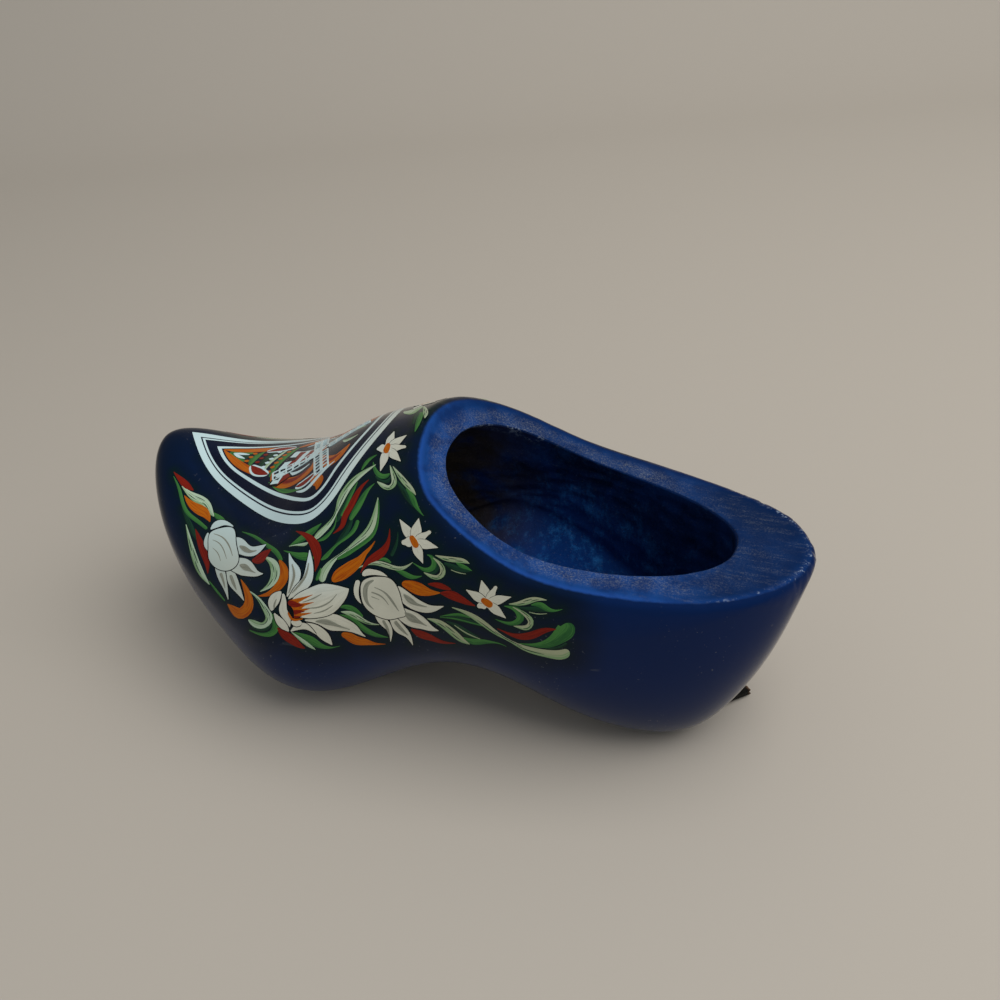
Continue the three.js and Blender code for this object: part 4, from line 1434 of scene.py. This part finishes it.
for paint, line in meadow + both_ways(curls):
    add_to_picture(paint, line, steps[paint])
for paint, line in both_ways(edged):
    add_to_picture("white", line + [0, 0, white_edge], edge_step)
    add_to_picture(paint, line, edge_step + 1)
for paint, line in flower_rows:
    add_to_picture(paint, line, bloom_step)
for order, (paint, corners) in enumerate(mill_walls + cottage_walls):
    height = picture_layer + (wall_step + order % wall_steps) * layer
    add_patch(paint, straight(corners), height, drop_on_panel, False, wall_points, wall_patch_rings)
for quarter in range(4):
    for line in sail(math.radians(sail_turn + 90 * quarter)):
        add_to_picture("white", line, sail_step)
print("flowers in the meadow:", len(flower_rows))

# %% One piece for each paint
paint_pieces = {}
for paint, shells in films.items():
    start = 0
    all_faces = []
    for points, faces, _ in shells:
        all_faces.extend(block + start for block in faces)
        start += len(points)
    piece = new_mesh("paint_" + paint, np.concatenate([points for points, _, _ in shells]), all_faces)
    for name in ("side", "run"):
        set_values(piece, name, np.concatenate([values[name] for _, _, values in shells]))
    piece.data.set_sharp_from_angle(angle=crease)
    paint_pieces[paint] = piece
    print(piece.name, len(piece.data.polygons), "faces")

# %% [markdown]
# Before the flowers, the painter mists near-black round their places with a spray gun, and the
# toe as well. The mist is thick near a stroke and fades over a finger's width. It could be painted
# by hand as a mask. Here each point of the body keeps a thickness that falls with its distance to
# the nearest stroke.

# %% How thick the sprayed ground lies
spray_full = 1.5
spray_end = 10
toe_spray_full = 5
toe_spray_end = 26
leaf_spray_end = 2.5


def smooth_fall(value, low, high):
    """1 below low, 0 above high, and an eased fall between them."""
    share = np.clip((value - low) / (high - low), 0, 1)
    return 1 - share * share * (3 - 2 * share)


wood_points = np.empty(len(body.data.vertices) * 3)
body.data.vertices.foreach_get("co", wood_points)
wood_points = from_frame(wood_points.reshape(-1, 3))
folded = np.column_stack([wood_points[:, 0], np.abs(wood_points[:, 1]), wood_points[:, 2]])
nearest = np.full(len(folded), np.inf)
for middle in np.concatenate(stroke_middles) * [1, -1, 1]:
    nearest = np.minimum(nearest, np.sum((folded - middle) ** 2, 1))
nearest = np.sqrt(nearest)
toe_spray = smooth_fall(wood_points[:, 0], toe_spray_full, toe_spray_end)
set_values(body, "spray", np.maximum(smooth_fall(nearest, spray_full, spray_end), toe_spray))
set_values(body, "leaf_spray", smooth_fall(nearest, 0, leaf_spray_end))
print("furthest wood from a stroke:", round(float(nearest.max()), 1), "mm")

# %% [markdown]
# The tab is a strip of black leather, cut square at its hidden end. Its other end looks out behind
# the heel, where it is a little ragged and has sagged to the floor. The section, a rectangle with
# rounded edges, is carried along the strip and closed by a point at each end. Noise pulls the
# fibres of the worn end back unevenly.

# %% The leather tab
tab_stations = 110
tab_section_points = 56
tab_edge_squareness = 8
tab_margin = 0.06
tab_end_round = 0.35
fray_reach = 2.6
fray_depth = 0.8
worn_away = 1.9
tab_sag = 1.15
sag_reach = 12
worn_narrower = 0.04
worn_thinner = 0.10
least_end_size = 0.7

section_turn = np.linspace(0, 2 * math.pi, tab_section_points, endpoint=False)
section = np.stack([np.cos(section_turn), np.sin(section_turn)], -1)
section = section * rounded_square(section_turn, tab_edge_squareness)[:, None]
tab_share = (1 - np.cos(np.linspace(0, math.pi, tab_stations))) / 2
left_length = tab_length - worn_away
along_tab = -left_length * tab_share[1:-1]
from_end = np.minimum(-along_tab, along_tab + left_length)
end_curve = np.sqrt(1 - np.clip(1 - from_end / tab_end_round, 0, 1) ** 2)
end_size = least_end_size + (1 - least_end_size) * end_curve
worn = smooth_fall(-along_tab, 0, 2 * fray_reach)
half_wide = (tab_width / 2 - tab_margin) * end_size * (1 - worn_narrower * worn)
half_thick = (tab_thickness / 2 - tab_margin) * end_size * (1 - worn_thinner * worn)
tab_points = np.stack([
    np.broadcast_to(along_tab[:, None], (len(along_tab), tab_section_points)),
    half_wide[:, None] * section[:, 0],
    half_thick[:, None] * section[:, 1],
], -1)
print("rings of the tab:", len(along_tab))

# %% Its ragged end, and the mesh
fibre_stretch = [0.12, 1, 1]
deepest_fibre = 0.4
long_fibres = lumps(tab_points * fibre_stretch + 40, 0.45)
tufts = lumps(tab_points + 60, 0.9)
fibres = np.clip(long_fibres + 0.6 * tufts, -deepest_fibre, 1.2) + deepest_fibre
fray = np.clip(1 + tab_points[..., 0] / fray_reach, 0, 1) ** 2
tab_points[..., 0] -= fray * fray_depth * fibres
tab_points[..., 1:] *= 1 - 0.02 * lumps(tab_points + 20, 1.1)[..., None]
tab_middle = np.array([-worn_away, 0, tab_bottom + tab_thickness / 2])
poles = np.array([[-fray_depth * 0.55, 0, 0], [-left_length + tab_margin, 0, 0]])
tab_points = np.concatenate([tab_points.reshape(-1, 3), poles]) + tab_middle
tab_points[:, 2] -= tab_sag * np.clip(1 + (tab_points[:, 0] + worn_away) / sag_reach, 0, 1) ** 2
tab_faces = ring_faces(len(along_tab), tab_section_points)
if volume_of(tab_points, tab_faces) < 0:
    tab_faces = [block[:, ::-1] for block in tab_faces]
tab = new_mesh("leather_tab", under_heel(tab_points), tab_faces)
cut_with(tab, new_mesh("punch", *bar_under_heel(tack_bore, tack_top)))
tab.data.set_sharp_from_angle(angle=crease)
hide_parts("heel_tab")
print("tab:", len(tab.data.polygons), "faces")

# %% [markdown]
# Finishes are node trees, but their maths reads better as plain expressions. This class wraps a
# socket, so that `mask * 2` adds a Math node. Every other node comes from one method, which takes
# the node's type, its settings, and the values or links of its sockets.

# %% Node trees written as expressions
class Link:
    """An output socket whose arithmetic adds Math nodes to its tree."""

    def __init__(self, tree, socket):
        self.tree = tree
        self.socket = socket

    def math(self, operation, *others, clamp=False):
        settings = {"operation": operation, "use_clamp": clamp}
        return add_node(self.tree, "ShaderNodeMath", settings, dict(enumerate((self, *others))))

    def __add__(self, other):
        return self.math("ADD", other)

    def __mul__(self, other):
        return self.math("MULTIPLY", other)

    def __sub__(self, other):
        return self.math("SUBTRACT", other)

    def __rsub__(self, other):
        return (self * -1) + other

    def clipped(self):
        return self.math("ADD", 0.0, clamp=True)

    def step(self, low, high):
        """0 below low, 1 above high, and an eased rise between them."""
        settings = {"interpolation_type": "SMOOTHSTEP"}
        return add_node(self.tree, "ShaderNodeMapRange", settings, {0: self, 1: low, 2: high})


def fill(tree, socket, value):
    """Links a socket to a Link, or sets it to a number, a colour or a vector."""
    if isinstance(value, Link):
        tree.links.new(value.socket, socket)
    else:
        socket.default_value = value


def add_node(tree, kind, settings=None, sockets=None, output=0):
    """Adds a node: settings first, then its sockets by number or name; returns one output."""
    node = tree.nodes.new(kind)
    for name, value in (settings or {}).items():
        setattr(node, name, value)
    for name, value in (sockets or {}).items():
        fill(tree, node.inputs[name], value)
    return Link(tree, node.outputs[output])


class Finish:
    """A material with one Principled surface; its sockets are named as Blender names them."""

    def __init__(self, name, constants):
        self.material = bpy.data.materials.new(name)
        self.material.use_nodes = True
        self.tree = self.material.node_tree
        self.surface = self.tree.nodes["Principled BSDF"]
        for socket, value in constants.items():
            self.surface.inputs[socket].default_value = value
        self.place = self.node("ShaderNodeTexCoord", output=3)

    def node(self, kind, settings=None, sockets=None, output=0):
        return add_node(self.tree, kind, settings, sockets, output)

    def attribute(self, name):
        return self.node("ShaderNodeAttribute", {"attribute_name": name}, output=2)

    def axis(self, number):
        """The place along one axis of the frame, in metres."""
        return self.node("ShaderNodeSeparateXYZ", sockets={0: self.place}, output=number)

    def stretched(self, scale):
        """Object coordinates times a scale for each axis."""
        return self.node("ShaderNodeVectorMath", {"operation": "MULTIPLY"}, {0: self.place, 1: scale})

    def noise(self, scale, detail, roughness=0.5, stretch=(1, 1, 1)):
        sockets = {"Vector": self.stretched(stretch), "Scale": scale, "Detail": detail}
        return self.node("ShaderNodeTexNoise", sockets={**sockets, "Roughness": roughness})

    def blend(self, share, first, second):
        """Mixes two colours: the first at 0, the second at 1."""
        return self.node("ShaderNodeMix", {"data_type": "RGBA"}, {0: share, 6: first, 7: second}, 2)

    def relief(self, height, distance):
        """Bump from a height between 0 and 1, worth a distance in metres."""
        sockets = {"Height": height, "Distance": distance, "Strength": 1.0}
        return self.node("ShaderNodeBump", sockets=sockets)

    def drive(self, **links):
        """Links the surface's sockets; Base_Color stands for Base Color."""
        for name, value in links.items():
            fill(self.tree, self.surface.inputs[name.replace("_", " ")], value)


def paint_with(piece, finish):
    piece.data.materials.clear()
    piece.data.materials.append(finish.material)


# %% [markdown]
# The wood wears three finishes. Outside it has blue lacquer, misted with near-black from a spray gun
# behind the flowers. The rim is bare of gloss: handling rubbed its blue matt and filled the pores with
# pale dust. The hollow was only stained, so gouge marks and uneven colour show. Painted light and shade
# lie over the rim and the hollow as well. One material holds all three, because the masks then fade into
# each other as the real finishes do.

# %% The masks of the three finishes
wood_relief = 0.00022
under_lacquer = {"Specular IOR Level": 0.04, "Coat Roughness": 0.08, "Coat IOR": 1.17}
wood = Finish("blue_lacquer_and_stain", under_lacquer)
rim = wood.attribute("rim")
hollow = wood.attribute("hollow")
across = wood.attribute("across_rim")
depth = wood.attribute("depth")
spray = wood.attribute("spray")
leaf_spray = wood.attribute("leaf_spray")
x, y, z = [wood.axis(number) for number in range(3)]

ragged = wood.noise(900, 3) - 0.5
is_rim = (rim + ragged * 0.10).step(0.52, 0.74)
is_hollow_finish = (hollow + ragged * 0.4).step(0.4, 0.7)
print("nodes for the masks:", len(wood.tree.nodes))

# %% [markdown]
# The side is clear lacquer over dark blue. Near-black was misted round the places of the flowers,
# with a green cast close to the leaves. Cloudy noise alone could stand for the mist, but the
# distance to the nearest stroke puts it where a painter would. Fine specks and a few scratches
# lie on top.

# %% The lacquered outside
lacquer_blue = (0.0002, 0.0120, 0.068, 1)
spray_black = (0.0003, 0.0065, 0.024, 1)
spray_green = (0.0008, 0.0110, 0.0100, 1)
speck_grey = (0.10, 0.11, 0.13, 1)

cloud = wood.noise(60, 3)
mist = (spray + (cloud - 0.5) * 0.25).clipped()
outside_colour = wood.blend(mist, lacquer_blue, spray_black)
outside_colour = wood.blend(leaf_spray * 0.85, outside_colour, spray_green)
specks = wood.noise(1500, 1).step(0.715, 0.75) * wood.noise(55, 1).step(0.50, 0.65)
scratch = wood.noise(420, 2, stretch=(0.18, 1, 1)).step(0.70, 0.73) * wood.noise(90, 1).step(0.6, 0.7)
outside_colour = wood.blend((specks + scratch * 0.4).clipped() * 0.6, outside_colour, speck_grey)
print("nodes with the outside:", len(wood.tree.nodes))

# %% [markdown]
# The rim's blue was rubbed matt by hands. It is darker in patches, with pale dust in its pores, end grain
# at the heel and small chips. Painted shade makes it darker at the heel and on the far side, and painted
# highlights make it lighter along its outer edge on the near side and along its inner edge. A picture
# could hold such wear, but it would blur near by. Here each mark is noise that is kept to its place by how
# far across the rim a point lies, and how far along the clog.

# %% The worn rim
rim_blue = (0.0090, 0.058, 0.240, 1)
rim_dark_blue = (0.0050, 0.029, 0.135, 1)
rim_highlight_blue = (0.0190, 0.084, 0.37, 1)
rim_shade_blue = (0.0030, 0.018, 0.075, 1)
rim_dust = (0.34, 0.36, 0.35, 1)
chip_white = (0.42, 0.52, 0.66, 1)

heel_end = x.step(0.040, 0.058)
grain = wood.noise(950, 4, 0.6, stretch=(0.12, 1, 1))
grain_lines = grain.step(0.50, 0.62) * heel_end
pores = wood.noise(2600, 5, 0.85)
dust_band = across.step(0.24, 0.50) * (1 - across.step(0.80, 0.97))
dust_patch = wood.noise(110, 4, 0.65).step(0.32, 0.60)
near_side = 1 - y.step(-0.020, -0.004)
dust = dust_band * (dust_patch * 0.85 + 0.15) * pores.step(0.44, 0.76)
dust = dust * (1 - heel_end * (0.80 - near_side * 0.80))
rim_colour = wood.blend(wood.noise(230, 3).step(0.35, 0.65), rim_dark_blue, rim_blue)
far_side = y.step(0.002, 0.018)
# Painted shade: the rim turns darker blue towards the heel and on the far side.
painted_rim_shade = (x.step(0.048, 0.068) * 0.8 + far_side * 0.6).clipped()
rim_colour = wood.blend(painted_rim_shade, rim_colour, rim_shade_blue)
# Painted highlight: a lighter blue band along the rim's outer edge, fainter at the heel and on the far
# side.
painted_edge_highlight = across.step(0.02, 0.12) * (1 - across.step(0.12, 0.28)) * (1 - heel_end * 0.6)
painted_edge_highlight = painted_edge_highlight * (1 - y.step(-0.014, 0.004) * 0.75)
rim_colour = wood.blend(painted_edge_highlight * 0.85, rim_colour, rim_highlight_blue)
# Painted shade: on the far side the rim's outer edge turns back to the dark lacquer blue.
painted_far_edge_shade = (1 - across.step(0.12, 0.30)) * far_side
rim_colour = wood.blend(painted_far_edge_shade * 0.9, rim_colour, lacquer_blue)
# Painted highlight along the rim's inner edge.
lit_inner_edge = across.step(0.88, 0.97) * 0.6
rim_colour = wood.blend(lit_inner_edge, rim_colour, rim_highlight_blue)
dusty_grain = grain_lines * pores.step(0.44, 0.64) * 0.13
rim_colour = wood.blend((dust * 0.68 + dusty_grain).clipped(), rim_colour, rim_dust)
outer_line = across.step(0.02, 0.10) * (1 - across.step(0.14, 0.24))
chipped = outer_line * wood.noise(1000, 3, 0.7).step(0.54, 0.62) * x.step(0.060, 0.070)
chipped = chipped * wood.noise(150, 2).step(0.42, 0.56)
rim_colour = wood.blend(chipped * 0.9, rim_colour, chip_white)
print("nodes with the rim:", len(wood.tree.nodes))

# %% [markdown]
# The wood of the hollow took up its stain unevenly: dark and lighter blue in patches, some teal, and at
# the toe end thin and brown. Painted light turns the lower walls and the bed lighter blue and tealer than
# the dark walls under the rim, and painted shade darkens the heel end. Painting by hand would give such
# patches too. Noise of three sizes gives them here, blended by how deep a point lies, and fine fuzz stands
# for torn fibres.

# %% The stained hollow
stain_blue = (0.0028, 0.023, 0.115, 1)
lit_bed_blue = (0.0060, 0.046, 0.23, 1)
dark_stain_and_shade = (0.0012, 0.007, 0.034, 1)
stain_teal = (0.020, 0.15, 0.44, 1)
stain_brown = (0.055, 0.042, 0.026, 1)

patches = wood.noise(80, 4, 0.6)
hollow_colour = wood.blend(patches.step(0.40, 0.62), dark_stain_and_shade, stain_blue)
# Painted light: lower down, the walls and the bed turn lighter blue, and the teal stain shows more
# strongly there.
low_down = depth.step(0.15, 0.75)
hollow_colour = wood.blend(low_down * 0.6, hollow_colour, lit_bed_blue)
teal_patch = wood.noise(230, 6, 0.8, stretch=(1, 1, 0.6)).step(0.46, 0.72)
hollow_colour = wood.blend(teal_patch * (low_down * 0.7 + 0.15), hollow_colour, stain_teal)
toe_end = 1 - x.step(-0.012, 0.018)
hollow_colour = wood.blend(toe_end * wood.noise(120, 3).step(0.25, 0.5), hollow_colour, stain_brown)
fuzz = wood.noise(1700, 4, 0.75)
hollow_colour = wood.blend(fuzz.step(0.56, 0.74) * 0.14, hollow_colour, rim_dust)
# Painted shade: the heel end of the hollow is darkened.
hollow_colour = wood.blend(x.step(0.022, 0.046) * 0.55, hollow_colour, dark_stain_and_shade)
print("nodes with the hollow:", len(wood.tree.nodes))

# %% [markdown]
# The three finishes meet on one surface. Where the rim or the hollow begins, its colour takes
# over, the clear coat ends and the wood turns matt, and the lip at the throat has a few chips.
# Three materials would meet in a hard line, and masks with ragged edges fade as worn paint does.

# %% One surface from the three finishes
wood_colour = wood.blend(is_rim, outside_colour, rim_colour)
wood_colour = wood.blend(is_hollow_finish, wood_colour, hollow_colour)
by_throat = 1 - x.step(0.006, 0.020)
inner_lip = across.step(0.76, 0.88) * (1 - hollow.step(0.80, 1.00)) * by_throat * far_side
lip_chips = inner_lip * wood.noise(260, 2).step(0.44, 0.52) * wood.noise(1400, 3, 0.7).step(0.46, 0.58)
wood_colour = wood.blend(lip_chips * 0.9, wood_colour, chip_white)
thin_coat = (1 - z.step(0.004, 0.024)) * (1 - x.step(0.020, 0.045))
matt = (is_rim + is_hollow_finish).clipped()
worn_height = (pores * 0.6 + grain * 0.4) * is_rim + fuzz * is_hollow_finish
wood.drive(
    Base_Color=wood_colour,
    Roughness=(matt * 0.35 + 0.35 + (fuzz - 0.5) * matt * 0.3),
    Coat_Weight=(1 - is_rim * 0.85 - is_hollow_finish - thin_coat * 0.6).clipped(),
    Normal=wood.relief(worn_height, wood_relief),
)
paint_with(body, wood)
print("nodes for the wood:", len(wood.tree.nodes))

# %% [markdown]
# The paints lie under the same clear lacquer. A brush leaves streaks along its stroke, and a leaf is
# loaded with two greens, so one side of it is lighter. Each stroke keeps two numbers for its points, how
# far along and how far to one side, and the streaks follow these. The whites carry painted shade, darker
# and cooler towards the toe, and a painted bluish skylight on top of the instep.

# %% Brushed paint
paint_colours = {
    "white": ((0.66, 0.66, 0.55, 1), (0.58, 0.58, 0.48, 1)),
    "black": ((0.0015, 0.0022, 0.004, 1), (0.003, 0.005, 0.007, 1)),
    "ground": ((0.0008, 0.004, 0.018, 1), (0.0015, 0.007, 0.028, 1)),
    "pale_green": ((0.46, 0.60, 0.44, 1), (0.20, 0.34, 0.16, 1)),
    "green": ((0.055, 0.20, 0.045, 1), (0.022, 0.11, 0.03, 1)),
    "dark_green": ((0.010, 0.05, 0.026, 1), (0.004, 0.02, 0.012, 1)),
    "red": ((0.225, 0.014, 0.005, 1), (0.145, 0.006, 0.003, 1)),
    "orange": ((0.50, 0.13, 0.003, 1), (0.36, 0.062, 0.002, 1)),
    "grey": ((0.30, 0.31, 0.25, 1), (0.20, 0.21, 0.17, 1)),
}
olive = (0.36, 0.36, 0.21, 1)
toe_shade_white = (0.47, 0.57, 0.53, 1)
painted_skylight_white = (0.60, 0.80, 0.85, 1)
streak_count = 3.5

for paint, (light, deep) in paint_colours.items():
    finish = Finish("paint_" + paint, {"Coat Weight": 1.0, **under_lacquer})
    side, run = finish.attribute("side"), finish.attribute("run")
    stroke_place = finish.node("ShaderNodeCombineXYZ", sockets={0: side * streak_count, 1: run * 2})
    apart = finish.node("ShaderNodeVectorMath", {"operation": "SCALE"}, {0: finish.place, "Scale": 60})
    where = finish.node("ShaderNodeVectorMath", {"operation": "ADD"}, {0: stroke_place, 1: apart})
    streaks = finish.node("ShaderNodeTexNoise", sockets={"Vector": where, "Scale": 1.6, "Detail": 4})
    is_leaf = paint.endswith("green")
    lean = side * 0.16 if is_leaf else 0.0
    share = (streaks + lean).step(0.42, 0.66)
    colour = finish.blend(share, light, deep)
    if paint == "pale_green":
        towards_heel = finish.axis(0).step(-0.025, 0.012) * 0.75
        colour = finish.blend(towards_heel, colour, finish.blend(share, olive, deep))
    if paint == "white":
        # Painted shade: the whites turn darker and cooler towards the toe.
        along = finish.axis(0)
        colour = finish.blend(along.step(-0.060, -0.020), toe_shade_white, colour)
        # Painted light: a bluish skylight on the whites on top of the instep.
        on_instep = finish.axis(2).step(0.037, 0.047) * (1 - along.step(-0.024, -0.006))
        colour = finish.blend(on_instep * 0.8, colour, painted_skylight_white)
    finish.drive(Base_Color=colour, Roughness=(streaks * 0.2 + 0.35))
    paint_with(paint_pieces[paint], finish)
print("paints:", ", ".join(paint_colours))

# %% [markdown]
# Old leather is nearly black with a fine pebbled grain, and its torn end is brown and fibrous. The
# tack is plain steel, dulled, with a little rust. A picture of leather could be wrapped round the
# strip, but it would stretch over the cut edges. Cells of noise are the same size on every side.

# %% Leather and steel
leather_black = (0.002, 0.0017, 0.0015, 1)
leather_brown = (0.005, 0.004, 0.003, 1)
fibre_brown = (0.20, 0.10, 0.05, 1)
steel_grey = (0.45, 0.44, 0.42, 1)
rust_brown = (0.14, 0.06, 0.03, 1)
pebble_relief = 0.00008
rust_relief = 0.00005

leather = Finish("dark_leather", {"Roughness": 0.62, "Specular IOR Level": 0.2})
pebbles = leather.node("ShaderNodeTexVoronoi", sockets={"Vector": leather.place, "Scale": 1900})
torn = leather.axis(0) + leather.axis(1) + (leather.noise(900, 3) - 0.5) * 0.0022
torn = torn.step(0.0722, 0.0745) * leather.noise(2600, 3, 0.7).step(0.35, 0.6)
leather_colour = leather.blend(leather.noise(700, 3), leather_black, leather_brown)
leather_colour = leather.blend(torn, leather_colour, fibre_brown)
leather_height = pebbles + leather.noise(2500, 3)
leather.drive(Base_Color=leather_colour, Normal=leather.relief(leather_height, pebble_relief))
paint_with(tab, leather)

steel = Finish("tack_steel", {"Metallic": 1.0})
rust = steel.noise(900, 4, 0.65).step(0.52, 0.66)
steel_colour = steel.blend(rust, steel_grey, rust_brown)
steel.drive(
    Base_Color=steel_colour,
    Roughness=(rust * 0.4 + 0.38),
    Metallic=(1 - rust * 0.8),
    Normal=steel.relief(steel.noise(1600, 3), rust_relief),
)
paint_with(frame["nodes"]["tab_tack"], steel)
print("leather:", len(leather.tree.nodes), "nodes, steel:", len(steel.tree.nodes), "nodes")

# %% [markdown]
# The clog stands on a plain pale board in front of a plain pale backdrop. Two flat sheets would
# show a line where they meet. One sheet makes both here: the floor runs back and bends up in a
# wide curve.

# %% Floor and backdrop
board_front = 0.9
board_back = 0.42
board_bend = 0.22
board_height = 0.9
board_half_width = 1.2
board_colour = (0.53, 0.485, 0.425, 1)
bend_steps = 24

bend_turn = np.linspace(0, math.pi / 2, bend_steps)
profile = np.concatenate([
    [[-board_front, 0]],
    np.stack([board_back + board_bend * np.sin(bend_turn), board_bend * (1 - np.cos(bend_turn))], -1),
    [[board_back + board_bend, board_height]],
])
level_back = np.array([-math.sin(camera_azimuth), math.cos(camera_azimuth)])
sheet_rows = []
for side in (-board_half_width, board_half_width):
    ground_place = profile[:, :1] * level_back + side * level_right[:2]
    sheet_rows.append(np.column_stack([ground_place, profile[:, 1]]))
sheet_points = np.stack(sheet_rows, 1)
number = np.arange(len(profile) * 2).reshape(-1, 2)
sheet_quads = np.stack([number[:-1, 0], number[:-1, 1], number[1:, 1], number[1:, 0]], -1)
board_mesh = bpy.data.meshes.new("board")
board_mesh.from_pydata(sheet_points.reshape(-1, 3).tolist(), [], sheet_quads.tolist())
board_mesh.shade_smooth()
board = bpy.data.objects.new("board", board_mesh)
bpy.context.scene.collection.objects.link(board)
paint_with(board, Finish("pale_board", {"Base Color": board_colour, "Roughness": 0.6}))
print("board:", 2 * board_half_width, "m wide")

# %% [markdown]
# Soft light comes from above, as in a room with a wide window. A picture of a room could light
# the clog too, but two plain sources are easier to set. The world gives the even part. One large
# lamp shapes the side and gives the shadow under the sole. Both stay at a level where a colour
# renders about as it is written.

# %% World, lamp and view
room_colour = (0.93, 0.97, 1.0, 1)
room_strength = 0.36
window_colour = (1.0, 0.98, 0.95)
window_watts = 6.7
window_size = 0.9
window_place = Vector((0.48, 0.0, 0.82))
window_aim = Vector((0, 0, 0.03))

world = bpy.data.worlds.new("studio")
world.use_nodes = True
bpy.context.scene.world = world
background = world.node_tree.nodes["Background"]
background.inputs["Color"].default_value = room_colour
background.inputs["Strength"].default_value = room_strength

lamp_data = bpy.data.lights.new("window", "AREA")
lamp_data.size = window_size
lamp_data.energy = window_watts
lamp_data.color = window_colour
lamp = bpy.data.objects.new("window", lamp_data)
bpy.context.scene.collection.objects.link(lamp)
lamp.location = window_place
lamp.visible_glossy = False
lamp.rotation_euler = (window_place - window_aim).to_track_quat("Z", "Y").to_euler()
bpy.context.scene.view_settings.view_transform = "Standard"
print("lamp:", window_watts, "W,", window_size, "m wide")
